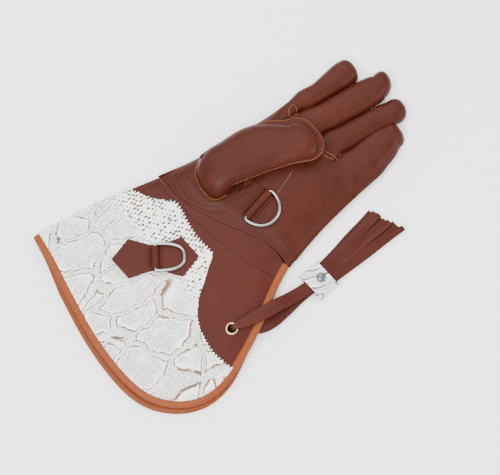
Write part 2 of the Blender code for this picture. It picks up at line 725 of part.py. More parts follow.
def make_cuff_ring(overlay, leather, steel, parts, cutters):
    """The bow-tie tab: a flat leaf with a waist, and over the waist the loop that holds the bar."""
    length, width = CUFF_TAB_LENGTH / 2, CUFF_TAB_WIDTH / 2
    reach = (CUFF_TAB_WIDTH, length, length)
    frame = surface_frame(overlay, CUFF_RING_PLACE, CUFF_RING_ANGLE, reach)
    corner = [(width, 0.62 * length), (0.0, length), (-width, 0.62 * length), (-0.66 * width, 0.12 * length)]
    outline = [(0.66 * width, 0.12 * length)] + corner
    outline += [(-x, -y) for x, y in outline]
    rings = [[frame @ Vector((x, y, z)) for x, y in outline] for z in (FIT, FIT + TAB_LEATHER)]
    tab = add_loft("cuff_ring_tab", rings, leather, parts)
    centre = ring_axis_height()
    radius = centre - FIT
    foot = FIT + TAB_LEATHER / 2
    arc = [
        (radius * math.cos(math.radians(a)), centre + radius * math.sin(math.radians(a)))
        for a in range(0, 181, 18)
    ]
    profile = [(1.5 * radius, foot)] + arc + [(-1.5 * radius, foot)]
    loop = add_prism("cuff_loop", profile, CUFF_LOOP_WIDTH, frame, leather, cutters)
    cut(tab, loop, "UNION")
    bore_for_bar("cuff_ring_bore", tab, CUFF_LOOP_WIDTH, frame, cutters)
    make_ring("cuff_ring", frame, CUFF_RING_WIDTH, CUFF_RING_DEPTH, 0.7, 0.0, steel, parts)


def add_wrapped(name, rings, surface, collection):
    """Closed rings joined into a body that closes on itself, like a tube with a wall."""
    count, turns = len(rings[0]), len(rings)
    points = [p for ring in rings for p in ring]
    faces = [
        (
            r * count + i, r * count + (i + 1) % count,
            (r + 1) % turns * count + (i + 1) % count, (r + 1) % turns * count + i,
        )
        for r in range(turns)
        for i in range(count)
    ]
    return add_mesh(name, points, faces, surface, collection)


def make_eyelet(gauntlet, brass, parts, cutters):
    """A rolled eyelet through the front panel, and the hole that it sits in."""
    reach = (EYELET_FLANGE, EYELET_FLANGE / 2, EYELET_FLANGE / 2)
    frame = surface_frame(gauntlet, EYELET_PLACE, 0.0, reach)
    bore, barrel, flange = EYELET_BORE / 2, EYELET_BORE / 2 + EYELET_WALL, EYELET_FLANGE / 2
    upper, lower = FIT, -LEATHER - 2 * FIT
    profile = [
        (bore, lower - EYELET_WALL), (bore, upper + EYELET_WALL),
        (flange - EYELET_WALL, upper + 1.5 * EYELET_WALL), (flange, upper + 0.5 * EYELET_WALL),
        (flange - EYELET_WALL, upper), (barrel, upper), (barrel, lower),
        (flange - EYELET_WALL, lower), (flange - EYELET_WALL, lower - EYELET_WALL),
    ]
    rings = []
    for k in range(20):
        turn = 2 * math.pi * k / 20
        rings.append([frame @ Vector((r * math.cos(turn), r * math.sin(turn), z)) for r, z in profile])
    add_wrapped("eyelet", rings, brass, parts)
    bpy.ops.mesh.primitive_cylinder_add(vertices=20, radius=barrel + FIT + BORE_PLAY, depth=4 * LEATHER)
    hole = bpy.context.object
    hole.name = "eyelet_hole"
    hole.matrix_world = frame
    bpy.context.collection.objects.unlink(hole)
    cutters.objects.link(hole)
    cut(gauntlet, hole)
    return frame


def make_strap(eyelet, leather, parts):
    """A strap through the eyelet and round the cuff's edge: rows of x, y, height and share of its width.

    Heights over the eyelet are measured from it, and those at the collar from the surface below.
    """
    over = eyelet.translation.z + FIT + 1.5 * EYELET_WALL + FIT + STRAP_THICK / 2
    under = eyelet.translation.z - LEATHER - 2 * FIT - EYELET_WALL - FIT - STRAP_THICK / 2
    upper, lower = COLLAR_HEIGHT * 0.73, COLLAR_HEIGHT * 0.44
    x0, y0 = EYELET_PLACE
    rows = (
        (3.1, 89.0, upper, 1.0),
        (3.6, 78.0, upper + 0.6 * MM, 1.0),
        (3.6, 62.0, upper + 2.6 * MM, 1.0),
        (3.4, 48.0, over - 0.2 * MM, 1.0),
        (3.4, 36.0, over + 0.9 * MM, 1.05),
        (2.6, 24.0, over + 0.9 * MM, 1.0),
        (1.2, 12.0, over + 0.5 * MM, 0.8),
        (0.4, 5.6, over + 0.4 * MM, 0.55),
        (0.1, 2.2, over - 0.5 * MM, 0.4),
        (0.0, 0.4, over - 2.4 * MM, 0.38),
        (0.0, 1.3, under - 0.1 * MM, 0.4),
        (0.8, 5.0, under - 1.2 * MM, 0.7),
        (5.5, 13.0, under - 1.0 * MM, 1.0),
        (11.5, 23.0, under - 1.0 * MM, 1.0),
        (13.0, 35.0, under - 1.3 * MM, 1.0),
        (10.0, 51.0, lower + 1.2 * MM, 1.0),
        (6.0, 68.0, lower + 0.2 * MM, 1.0),
        (3.1, 89.0, lower, 1.0),
    )
    route = np.array([(x0 + x * MM, y0 + y * MM, z) for x, y, z, _ in rows])
    widths = [row[3] * STRAP_WIDTH for row in rows]
    rings = []
    for t in np.linspace(0, 1, 42):
        point = Vector(curve_at(route, t))
        ahead, behind = curve_at(route, min(t + 0.01, 1)), curve_at(route, max(t - 0.01, 0))
        along = Vector(ahead - behind).normalized()
        side = Vector((1, 0.15, 0))
        side = (side - along * side.dot(along)).normalized()
        normal = side.cross(along)
        half = side * np.interp(t, np.linspace(0, 1, len(widths)), widths) / 2
        thick = normal * STRAP_THICK / 2
        rings.append([
            point - half - thick, point + half - thick, point + half + thick, point - half + thick,
        ])
    return add_loft("tassel_strap", rings, leather, parts)


def stadium(width, height, middle):
    """A flattened ring as (x, z) points: two half rounds joined by straight sides."""
    radius = height / 2
    return [
        (side * (width / 2 - radius) + side * radius * math.cos(a), middle + side * radius * math.sin(a))
        for side in (1, -1)
        for a in np.linspace(-math.pi / 2, math.pi / 2, 7)
    ]


def tassel_frame():
    frame = Matrix.Rotation(math.radians(TASSEL_ANGLE), 4, "Z")
    frame.translation = (*COLLAR_PLACE, 0)
    return frame


def make_collar(leather, silver, parts):
    frame = tassel_frame()
    outer = stadium(COLLAR_WIDTH, COLLAR_HEIGHT, COLLAR_HEIGHT / 2)
    inner = stadium(COLLAR_WIDTH - 2 * PRINT_LEATHER, COLLAR_HEIGHT - 2 * PRINT_LEATHER, COLLAR_HEIGHT / 2)
    rings = [
        [frame @ Vector((x, y, z)) for x, z in loop]
        for loop, y in ((outer, 0), (outer, COLLAR_LENGTH), (inner, COLLAR_LENGTH), (inner, 0))
    ]
    add_wrapped("tassel_collar", rings, leather, parts)
    profile = [
        (RIVET_DIAMETER / 2 * math.cos(a), RIVET_HEIGHT * (0.25 + 0.75 * math.sin(a)))
        for a in np.linspace(0, math.radians(75), 6)
    ]
    profile = [(RIVET_DIAMETER / 2 - 0.2 * MM, 0.0)] + profile
    seat = frame @ Matrix.Translation((0, COLLAR_LENGTH * 0.64, COLLAR_HEIGHT + FIT))
    turns = np.linspace(0, 2 * math.pi, 16, endpoint=False)
    rings = [
        [seat @ Vector((r * math.cos(a), r * math.sin(a), z)) for a in turns] for r, z in profile
    ]
    add_loft("tassel_rivet", rings, silver, parts)


def make_fringe(leather, parts, cutters):
    """Two layers of cut strips on a head inside the collar, the lower layer set half a strip aside."""
    frame = tassel_frame()
    inner = COLLAR_HEIGHT - 2 * PRINT_LEATHER
    head_width = COLLAR_WIDTH - 2 * PRINT_LEATHER - inner / 2 + FIT
    start, head_end = COLLAR_LENGTH * 0.52, COLLAR_LENGTH + HEAD_SHOWS
    low, high = COLLAR_HEIGHT / 2 - 0.3 * inner, COLLAR_HEIGHT / 2 + 0.3 * inner
    thick = (high - low) * 0.38
    corners = ((-1, low), (1, low), (1, high), (-1, high))
    rings = [
        [frame @ Vector((side * head_width / 2, y, z)) for side, z in corners] for y in (start, head_end)
    ]
    fringe = add_loft("tassel_fringe", rings, leather, parts)
    pitch = head_width / FRINGE_STRIPS
    for layer, height in enumerate((low + 0.27 * (high - low), low + 0.73 * (high - low))):
        for k in range(FRINGE_STRIPS):
            share = (k + 0.5 + (0.22 if layer else -0.22)) / FRINGE_STRIPS - 0.5
            length = FRINGE_LENGTH * (1 + 0.17 * share + 0.03 * math.sin(5 * k + 2 * layer))
            drop = height - thick * (0.55 if layer == 0 else 1.75)
            rings = []
            for run in (0.0, 0.06, 0.22, 0.5, 1.0):
                spread = head_width + (FRINGE_WIDTH - head_width) * run
                y = head_end - STRIP_LAP + length * run
                z = height - drop * smooth(run * 4)
                stray = FRINGE_STRAY * run * math.sin(3 * k + layer)
                x = share * spread * (head_width - pitch) / head_width + stray
                half = FRINGE_STRIP / 2 * (0.92 if run == 0.0 else 1.0)
                rings.append([
                    frame @ Vector((x + a * half, y, z + b * thick / 2))
                    for a, b in ((-1, -1), (1, -1), (1, 1), (-1, 1))
                ])
            strip = add_loft(f"strip_{layer}_{k}", rings, leather, cutters)
            cut(fringe, strip, "UNION")
    return fringe


def clear_scene():
    for old in list(bpy.data.objects):
        bpy.data.objects.remove(old, do_unlink=True)


def main():
    clear_scene()
    parts = bpy.data.collections.new("falconry_glove")
    cutters = bpy.data.collections.new("cutters")
    bpy.context.scene.collection.children.link(parts)
    bpy.context.scene.collection.children.link(cutters)
    brown = material("brown_leather", (0.19, 0.055, 0.038), 0.5)
    tan = material("tan_tape", (0.52, 0.15, 0.045), 0.55)
    printed = material("snake_print", (0.8, 0.8, 0.77), 0.45)
    steel = material("steel", (0.75, 0.75, 0.74), 0.22, 1.0)
    brass = material("brass", (0.75, 0.62, 0.4), 0.3, 1.0)
    hand = make_hand(brown, parts)
    gauntlet = make_gauntlet(brown, parts)
    make_binding(tan, parts)
    overlay = make_overlay(printed, parts)
    make_palm_ring(hand, brown, steel, parts, cutters)
    make_cuff_ring(overlay, brown, steel, parts, cutters)
    eyelet = make_eyelet(gauntlet, brass, parts, cutters)
    make_thumb(brown, hand, parts, cutters)
    make_strap(eyelet, brown, parts)
    make_collar(printed, steel, parts)
    make_fringe(brown, parts, cutters)
    bpy.context.view_layer.update()


main()
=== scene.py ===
# %% [markdown]
# A falconry glove lies palm up on a pale table: a brown leather hand with its thumb folded over the
# palm, a wide cuff covered with snake-print leather and edged with tan tape, two D-rings and a
# tassel. The construction model gives every size and place; the cells below model what is seen.

# %% The frame and its sizes
import json
import math

import bmesh
import bpy
import numpy as np
from mathutils import Matrix, Vector


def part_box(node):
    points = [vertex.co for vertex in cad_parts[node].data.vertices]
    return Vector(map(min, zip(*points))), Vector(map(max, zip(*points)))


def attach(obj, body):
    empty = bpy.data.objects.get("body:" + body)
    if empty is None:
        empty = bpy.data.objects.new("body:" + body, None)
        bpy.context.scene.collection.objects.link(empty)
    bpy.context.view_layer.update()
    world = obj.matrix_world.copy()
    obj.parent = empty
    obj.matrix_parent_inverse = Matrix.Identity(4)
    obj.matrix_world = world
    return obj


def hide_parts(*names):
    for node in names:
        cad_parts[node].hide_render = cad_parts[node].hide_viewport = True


with open("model.json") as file:
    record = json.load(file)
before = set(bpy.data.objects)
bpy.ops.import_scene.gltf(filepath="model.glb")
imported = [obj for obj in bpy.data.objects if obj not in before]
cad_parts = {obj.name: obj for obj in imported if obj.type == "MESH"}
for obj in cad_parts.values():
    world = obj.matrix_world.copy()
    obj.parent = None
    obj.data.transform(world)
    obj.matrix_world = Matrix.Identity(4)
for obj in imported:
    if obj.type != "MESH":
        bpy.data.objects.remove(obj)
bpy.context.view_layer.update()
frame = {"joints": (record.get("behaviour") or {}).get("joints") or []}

MM = 0.001
hand_low, hand_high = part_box("hand")
cuff_low, cuff_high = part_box("gauntlet")
HAND_LENGTH = hand_high.y / 1.003
HAND_WIDTH = -hand_low.x / 0.727
CUFF_WIDTH = cuff_high.x / 0.639
CUFF_LENGTH = -cuff_low.y / 1.0506
FIT = 0.3 * MM
LEATHER = 1.8 * MM
PALM_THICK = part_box("palm_ring_tab")[0].z - FIT
FINGER_THICK = hand_high.z / 1.06
RIM_HEIGHT = 6.8 * MM
BINDING_WIDTH = 7 * MM
FOLD_REACH = 16 * MM
TAPE = 0.9 * MM
print(f"hand {HAND_LENGTH:.3f} m long, cuff {CUFF_WIDTH:.3f} m wide, palm {PALM_THICK * 1000:.1f} mm thick")

# %% [markdown]
# The outline tables are shares of the hand's and the cuff's own sizes, so a point is (across, along).
# Five lines run down the hand from the wrist to the crotches of the fingers, and each finger has rows
# of (along, left, right) up to its rounded tip.

# %% Outlines as shares of the sizes
PALM_LINES = (
    ((-0.673, -0.214), (-0.632, -0.02), (-0.636, 0.16), (-0.627, 0.34), (-0.645, 0.5)),
    ((-0.345, -0.177), (-0.364, 0.01), (-0.4, 0.19), (-0.455, 0.355), (-0.518, 0.516)),
    ((-0.027, -0.078), (-0.073, 0.085), (-0.127, 0.25), (-0.19, 0.415), (-0.245, 0.573)),
    ((0.3, 0.049), (0.218, 0.177), (0.127, 0.3125), (0.045, 0.45), (-0.018, 0.589)),
    ((0.582, 0.083), (0.514, 0.1875), (0.445, 0.3125), (0.391, 0.4375), (0.345, 0.5625)),
)
FINGERS = {
    "index": {
        "thick": 1.0,
        "rows": (
            (0.583, -0.682, -0.494), (0.661, -0.676, -0.492), (0.729, -0.7, -0.491), (0.807, -0.727, -0.491),
            (0.838, -0.727, -0.491),
        ),
        "tip": (0.888, -0.613),
    },
    "middle": {
        "thick": 1.06,
        "rows": (
            (0.63, -0.49, -0.237), (0.72, -0.489, -0.228), (0.82, -0.487, -0.222), (0.9, -0.478, -0.226),
            (0.94, -0.465, -0.25),
        ),
        "tip": (1.003, -0.392),
    },
    "ring": {
        "thick": 1.0,
        "rows": (
            (0.65, -0.234, -0.015), (0.74, -0.226, -0.018), (0.83, -0.218, -0.012), (0.88, -0.214, -0.002),
            (0.925, -0.208, 0.01),
        ),
        "tip": (0.987, -0.11),
    },
    "little": {
        "thick": 0.9,
        "rows": (
            (0.64, -0.015, 0.32), (0.7, -0.03, 0.3), (0.755, -0.045, 0.264), (0.81, -0.055, 0.227),
            (0.855, -0.05, 0.18),
        ),
        "tip": (0.903, 0.055),
    },
}
CUFF_EDGE = (
    (-0.405, -1.0), (-0.283, -0.997), (-0.098, -1.012), (0.098, -1.021), (0.263, -1.009),
    (0.395, -0.979), (0.493, -0.929), (0.566, -0.848), (0.612, -0.75), (0.627, -0.637),
    (0.602, -0.5), (0.534, -0.333), (0.446, -0.164), (0.376, -0.051), (0.32, 0.055),
)
BACK_REACH = ((0.0, 0.0), (0.15, 0.65), (0.45, 0.8), (0.7, 0.35), (0.85, -0.45), (1.0, 0.0))
EDGE_HEIGHT = ((0.0, 1.0), (0.3, 1.0), (0.5, 0.96), (0.62, 0.88), (0.75, 0.8), (0.9, 0.8), (1.0, 0.58))
PINKED_EDGE = (
    (-0.361, -0.411), (-0.283, -0.351), (-0.249, -0.31), (-0.2, -0.244), (-0.073, -0.25), (0.005, -0.244),
    (0.063, -0.226), (0.088, -0.232), (0.107, -0.262), (0.156, -0.327), (0.2, -0.393), (0.259, -0.452),
    (0.288, -0.476), (0.346, -0.5), (0.415, -0.506), (0.478, -0.5), (0.561, -0.464),
)
print(len(PALM_LINES), "lines down the palm,", len(FINGERS), "fingers,", len(PINKED_EDGE), "cut points")

# %% [markdown]
# Leather goods have no flat faces and few straight lines, so nearly every piece is a surface over a grid
# of points. A smooth curve passes through a few chosen points, an ease softens every start and end, and
# the grid becomes a mesh in one go. This keeps each shape a formula that can be read and changed.

# %% Curves and grids
def unit(vectors):
    """Each vector divided by its length."""
    return vectors / np.maximum(np.linalg.norm(vectors, axis=-1, keepdims=True), 1e-12)


def run_along(line):
    """The way walked at each point of a line: 0, then the sum of the steps up to it."""
    return np.concatenate([[0], np.cumsum(np.linalg.norm(np.diff(line, axis=0), axis=1))])


def at_run(places, run, line):
    """The points of a line at these places along its run, straight between its own points."""
    return np.stack([np.interp(places, run, line[:, k]) for k in range(line.shape[1])], -1)


def spline(points, t):
    """Catmull-Rom: a cubic in the fraction f between neighbours b and c, with a and d beyond them."""
    points = np.asarray(points, float)
    last = len(points) - 1
    place = np.clip(t, 0, 1) * last
    i = np.minimum(place.astype(int), last - 1)
    f = (place - i)[..., None]
    wide = np.vstack([2 * points[:1] - points[1:2], points, 2 * points[-1:] - points[-2:-1]])
    a, b, c, d = wide[i], wide[i + 1], wide[i + 2], wide[i + 3]
    square, cube = 2 * a - 5 * b + 4 * c - d, 3 * b - a - 3 * c + d
    return 0.5 * (2 * b + (c - a) * f + square * f**2 + cube * f**3)


def ease(x):
    """3x^2 - 2x^3, held at 0 below 0 and at 1 above 1."""
    x = np.clip(x, 0, 1)
    return x * x * (3 - 2 * x)


def hump(x, y=0.0):
    """A soft hump of height 1 and half width 1: exp(-(x^2 + y^2))."""
    return np.exp(-(x**2 + y**2))


def grid_faces(rows, columns, wrap_rows=False, wrap_columns=False):
    """Quads of a grid, as four corner indices each, closed round in either direction."""
    r = np.arange(rows if wrap_rows else rows - 1)
    c = np.arange(columns if wrap_columns else columns - 1)
    r, c = np.meshgrid(r * columns, c, indexing="ij")
    r2, c2 = (r + columns) % (rows * columns), (c + 1) % columns
    return np.stack([r + c, r + c2, r2 + c2, r2 + c], -1).reshape(-1, 4)


def new_mesh(name, points, faces, materials, smooth=True):
    """An object at the origin from an array of points and an array of faces."""
    mesh = bpy.data.meshes.new(name)
    mesh.from_pydata(np.asarray(points).reshape(-1, 3).tolist(), [], np.asarray(faces).tolist())
    for material in materials:
        mesh.materials.append(material)
    if smooth:
        mesh.shade_smooth()
    made = bpy.data.objects.new(name, mesh)
    bpy.context.scene.collection.objects.link(made)
    return made


def grid_object(name, points, materials, wrap_rows=False, wrap_columns=False):
    """One grid of points as an object."""
    return new_mesh(name, points, grid_faces(*points.shape[:2], wrap_rows, wrap_columns), materials)


def many(name, grids, materials, wrap=True):
    """Several grids as one mesh, one after the other."""
    starts = np.cumsum([0, *(grid.shape[0] * grid.shape[1] for grid in grids[:-1])])
    faces = [grid_faces(*grid.shape[:2], False, wrap) + start for grid, start in zip(grids, starts)]
    return new_mesh(name, np.vstack([grid.reshape(-1, 3) for grid in grids]), np.vstack(faces), materials)


def weld(made, distance):
    """Points that meet become one, so that the surface closes and shades as one skin."""
    shape = bmesh.new()
    shape.from_mesh(made.data)
    bmesh.ops.remove_doubles(shape, verts=shape.verts, dist=distance)
    bmesh.ops.recalc_face_normals(shape, faces=shape.faces)
    shape.to_mesh(made.data)
    shape.free()
    made.data.shade_smooth()


def thicken(made, thickness, edge_slot=0, middle=False):
    """A leather's thickness below its drawn face; its cut edge may take another material.

    The drawn face is on the outside where the highest quarter of the faces, weighed by area, looks up.
    """
    faces = made.data.polygons
    low, high = min(face.center.z for face in faces), max(face.center.z for face in faces)
    upper = sum(face.normal.z * face.area for face in faces if face.center.z > (low + 3 * high) / 4)
    wall = made.modifiers.new("thickness", "SOLIDIFY")
    wall.thickness = thickness
    wall.offset = 0.0 if middle else (-1.0 if upper > 0 else 1.0)
    wall.material_offset_rim = edge_slot


def finish_piece(made, slot, *nodes, body="glove"):
    """The piece rides a body and takes the place of construction nodes; the finish given as slot is not used.
    """
    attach(made, body)
    if nodes:
        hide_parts(*nodes)
    print(f"{made.name}: {len(made.data.polygons)} faces, in place of {' '.join(nodes) or 'nothing'}")


print("a curve through three points, halfway:", spline(((0, 0), (1, 2), (2, 0)), np.array(0.5)))

# %% [markdown]
# The shader maths reads like a formula: a socket can be added, multiplied or fed to any other node.
# Brown leather is a two-tone mottle with a fine grain; the snake print is a network of cell outlines
# over rows of small scales; tape, raw edges, steel and brass are plainer.

# %% Materials
class Socket:
    """A value in a material's node tree; +, - and * with a number or another value add Math nodes."""

    def __init__(self, tree, output):
        self.tree, self.output = tree, output

    def node(self, kind, output=0, settings=None, **inputs):
        """Any node fed with values or sockets by input name; returns one of its outputs."""
        made = self.tree.nodes.new(kind)
        for key, value in (settings or {}).items():
            setattr(made, key, value)
        for key, value in inputs.items():
            slot = made.inputs[int(key[1:])] if key[0] == "i" and key[1:].isdigit() else made.inputs[key]
            if isinstance(value, Socket):
                self.tree.links.new(value.output, slot)
            else:
                slot.default_value = value
        return Socket(self.tree, made.outputs[output])

    def maths(self, operation, other=0.0):
        """One Math node on this value and another."""
        return self.node("ShaderNodeMath", 0, {"operation": operation}, i0=self, i1=other)

    def __add__(self, other):
        return self.maths("ADD", other)

    def __sub__(self, other):
        return self.maths("SUBTRACT", other)

    def __mul__(self, other):
        return self.maths("MULTIPLY", other)

    def __rsub__(self, other):
        return self * -1.0 + other

    __radd__, __rmul__ = __add__, __mul__

    def over(self, start, end):
        """0 below start, 1 above end, eased between."""
        settings = {"interpolation_type": "SMOOTHSTEP"}
        return self.node("ShaderNodeMapRange", 0, settings, i0=self, i1=start, i2=end, i3=0.0, i4=1.0)

    def mix(self, low, high):
        """The colour low where this is 0 and high where it is 1."""
        settings = {"data_type": "RGBA", "clamp_factor": True}
        return self.node("ShaderNodeMix", 2, settings, i0=self, i6=low, i7=high)

    def mix_into(self, base, colour):
        """The socket colour laid over the socket base where this is 1."""
        return self.node("ShaderNodeMix", 2, {"data_type": "RGBA"}, i0=self, i6=base, i7=colour)


def new_material(name, roughness=0.5, metallic=0.0, coat=0.0, sheen=0.0, specular=0.5):
    """An empty Principled material: the material, its shader node and its Object coordinates."""
    material = bpy.data.materials.new(name)
    material.use_nodes = True
    shader = material.node_tree.nodes["Principled BSDF"]
    shader.inputs["Roughness"].default_value = roughness
    shader.inputs["Metallic"].default_value = metallic
    shader.inputs["Coat Weight"].default_value = coat
    shader.inputs["Sheen Weight"].default_value = sheen
    shader.inputs["Specular IOR Level"].default_value = specular
    coordinates = material.node_tree.nodes.new("ShaderNodeTexCoord")
    return material, shader, Socket(material.node_tree, coordinates.outputs["Object"])


def feed(shader, **inputs):
    """Links sockets to the shader's inputs, with _ for a space in their names."""
    for name, value in inputs.items():
        slot = shader.inputs[name.replace("_", " ")]
        shader.id_data.links.new(value.output, slot)


def noise(place, scale, detail=3.0, roughness=0.55, output=0):
    """Soft random blots, scale to a metre; output 0 is their value and 1 a colour of three values."""
    facts = {"Vector": place, "Scale": scale, "Detail": detail, "Roughness": roughness}
    return place.node("ShaderNodeTexNoise", output, None, **facts)


def drifted(place, pattern, amount):
    """The place moved by a pattern's three values times an amount."""
    wander = pattern.node("ShaderNodeVectorMath", 0, {"operation": "SCALE"}, i0=pattern, Scale=amount)
    return place.node("ShaderNodeVectorMath", 0, {"operation": "ADD"}, i0=place, i1=wander)


def turned(place, angle, stretch):
    """The place seen from above, turned about Z and stretched along Y."""
    facts = {"Vector": place, "Rotation": (0, 0, angle), "Scale": (1.0, stretch, 0.0)}
    return place.node("ShaderNodeMapping", 0, None, **facts)


def cells(place, scale, feature="F1", randomness=1.0):
    """Distances in a pattern of cells: to the cell's own point, or to its border."""
    settings = {"feature": feature}
    return place.node("ShaderNodeTexVoronoi", 0, settings, Vector=place, Scale=scale, Randomness=randomness)


def bumped(height, strength, distance):
    """A normal tilted by a height."""
    return height.node("ShaderNodeBump", 0, None, Strength=strength, Distance=distance, Height=height)


def leather(name, dark, light, roughness=0.42, coat=0.0):
    """Smooth dyed leather: slow mottle, faint worn cloudiness, pores and a fine pebble grain."""
    material, shader, place = new_material(name, roughness, 0.0, coat, 0.0, 0.11)
    mottle = noise(place, 22.0, 4.0, 0.6).over(0.3, 0.72)
    cloud = noise(place, 120.0, 3.0, 0.6).over(0.35, 0.75)
    tone = mottle * 0.6 + cloud * 0.4
    grain = cells(place, 1500.0, "F1") * 0.6 + noise(place, 900.0, 2.0) * 0.5
    crease = noise(place, 60.0, 2.0)
    feed(
        shader,
        Base_Color=tone.mix((*dark, 1), (*light, 1)),
        Roughness=cloud * 0.12 + (roughness - 0.05),
        Normal=bumped(grain * 0.6 + crease * 1.5, 0.35, 0.25 * MM),
    )
    return material


def plain(name, colour, roughness=0.6, metallic=0.0, vary=0.15, scale=300.0):
    """One colour, a little uneven."""
    material, shader, place = new_material(name, roughness, metallic, 0.0, 0.0, 0.2)
    dark = tuple(c * (1 - vary) for c in colour)
    spots = noise(place, scale, 2.0)
    feed(
        shader,
        Base_Color=spots.over(0.3, 0.7).mix((*dark, 1), (*colour, 1)),
        Normal=bumped(spots, 0.15, 0.15 * MM),
    )
    return material


def snake_print(name):
    """White leather, dotted with small scales, inside a network of double outlines; dashes near its top."""
    material, shader, place = new_material(name, 0.45, 0.0, 0.0, 0.0, 0.2)
    moved = drifted(place, noise(place, 38.0, 2.0, 0.5, 1), 0.016)
    moved = drifted(moved, noise(place, 300.0, 1.0, 0.5, 1), 0.0022)
    edge = cells(turned(moved, 0.5, 0.62), 36.0, "DISTANCE_TO_EDGE", 0.9)
    line = edge.over(0.05, 0.06) - edge.over(0.074, 0.09)
    band = edge.over(0.07, 0.05)
    scales = cells(turned(place, 0.35, 1.0), 560.0, "F1", 0.2)
    dots = scales.over(0.44, 0.30) * (edge.over(0.09, 0.14) + band)
    uneven = noise(place, 70.0, 2.0).over(0.25, 0.6) * 0.55 + 0.45
    height = place.node("ShaderNodeSeparateXYZ", 1, None, Vector=place)
    across = place.node("ShaderNodeSeparateXYZ", 0, None, Vector=place)
    upper = (height - across * 0.15).over(-0.090, -0.072) * across.over(0.066, 0.05)
    dashes = cells(turned(place, -0.5, 0.62), 330.0, "F1", 0.4).over(0.42, 0.32) * upper
    keep = 1 - upper
    grey = dots * uneven * keep
    colour = grey.mix((0.86, 0.86, 0.83, 1), (0.05, 0.044, 0.046, 1))
    tan = noise(place, 26.0, 1.0).over(0.42, 0.58)
    ink = tan.mix((0.06, 0.048, 0.048, 1), (0.15, 0.07, 0.03, 1))
    faded = noise(place, 150.0, 2.0).over(0.22, 0.48)
    colour = (line * keep * faded).mix_into(colour, ink)
    colour = dashes.mix_into(colour, ink)
    feed(shader, Base_Color=colour, Normal=bumped(scales * 0.5 + edge, 0.3, 0.2 * MM))
    return material


BROWN = leather("brown_leather", (0.034, 0.0056, 0.0025), (0.050, 0.0088, 0.0042))
CUFF_BROWN = leather("cuff_leather", (0.038, 0.0066, 0.0040), (0.050, 0.0088, 0.0054))
DEEP = leather("inner_leather", (0.05, 0.016, 0.012), (0.09, 0.03, 0.02), 0.7, 0.0)
PRINT = snake_print("snake_print")
TAN_TAPE = plain("tan_tape", (0.17, 0.034, 0.004), 0.5)
# The tan of leather's cut edges; the same tan cord down the fold of the thumb's free side is a painted
# highlight on its crest.
RAW_EDGE_AND_CREST_HIGHLIGHT = plain("raw_edge_and_crest_highlight", (0.155, 0.048, 0.016), 0.75, 0.0, 0.5, 500.0)
THREAD = plain("thread", (0.012, 0.004, 0.003), 0.8)
GREY_THREAD = plain("grey_thread", (0.10, 0.095, 0.095), 0.8)
STEEL = plain("steel", (0.28, 0.275, 0.27), 0.2, 1.0, 0.05)
RIVET_STEEL = plain("rivet_steel", (0.12, 0.125, 0.135), 0.25, 1.0, 0.05)
BRASS = plain("brass", (0.42, 0.31, 0.16), 0.25, 1.0, 0.08)
print(len(bpy.data.materials), "materials")

# %% [markdown]
# The hand is one skin. Each finger's strip runs from the wrist hem over the palm to its own tip; on the
# palm neighbouring strips share their border, past the crotch each strip rolls down into a crease.
# Heights are the construction model's, and a soft relief adds ridges, dents and the worn dimple.

# %% The hand's surface
def palm_point(column, t, inset=0.0, under=False):
    """Palm at a column 0..24 and a share t: across five lines, flat on top and rolled down at both sides."""
    column, t = np.broadcast_arrays(np.asarray(column, float), np.asarray(t, float))
    lines = [spline(PALM_LINES[k], t) * (HAND_WIDTH, HAND_LENGTH) for k in range(5)]
    width = np.linalg.norm(lines[4] - lines[0], axis=-1, keepdims=True)
    inward = (lines[4] - lines[0]) / width
    lines[0], lines[4] = lines[0] + inward * inset, lines[4] - inward * inset
    strip = np.minimum(column // 6, 3).astype(int)
    local = -np.cos(math.pi * (column - 6 * strip) / 6)
    stacked = np.stack(lines)
    where = np.indices(column.shape)
    before, left, right, after = (stacked[(np.clip(strip + k, 0, 4), *where)] for k in (-1, 0, 1, 2))
    f = ((local + 1) / 2)[..., None]
    curved = (1 - ease((t - 0.4) / 0.35))[..., None] * f * (1 - f) * 0.5
    place = left + (right - left) * f
    place = place + curved * ((1 - f) * (2 * left - before - right) + f * (2 * right - left - after))
    span = np.sum((lines[4] - lines[0]) * inward, -1)
    across = 2 * np.sum((place - lines[0]) * inward, -1) / span - 1
    flat = np.where(across < 0, 0.72, 0.45)
    fall = np.clip((np.abs(across) - flat) / (1 - flat), 0, 1) ** 2.3
    rise = np.clip((np.abs(across) - 0.8) / 0.2, 0, 1) ** 1.8
    top = PALM_THICK - inset - (PALM_THICK - inset - RIM_HEIGHT) * fall
    low = inset + (RIM_HEIGHT - inset) * rise
    return np.concatenate([place, (low if under else top)[..., None]], -1), local


def finger_height(local, thick, under, number, crease=1.0):
    """Full across the finger and steep at its sides: (1 - |x|^3)^0.62 above, flat where it rests.

    Where it meets a neighbour the sides end 3 mm higher, in a shallow crisp crease.
    """
    meets = np.where(local < 0, number > 0, number < 3) * ease(np.abs(local) * 2 - 0.6)
    rim = RIM_HEIGHT + 3 * MM * meets * crease
    side = np.clip(1 - np.abs(local) ** 3.2, 0, 1) ** 0.62
    rise = np.clip((np.abs(local) - 0.55) / 0.45, 0, 1) ** 1.6
    return rim + (thick - rim) * side if not under else rim * rise


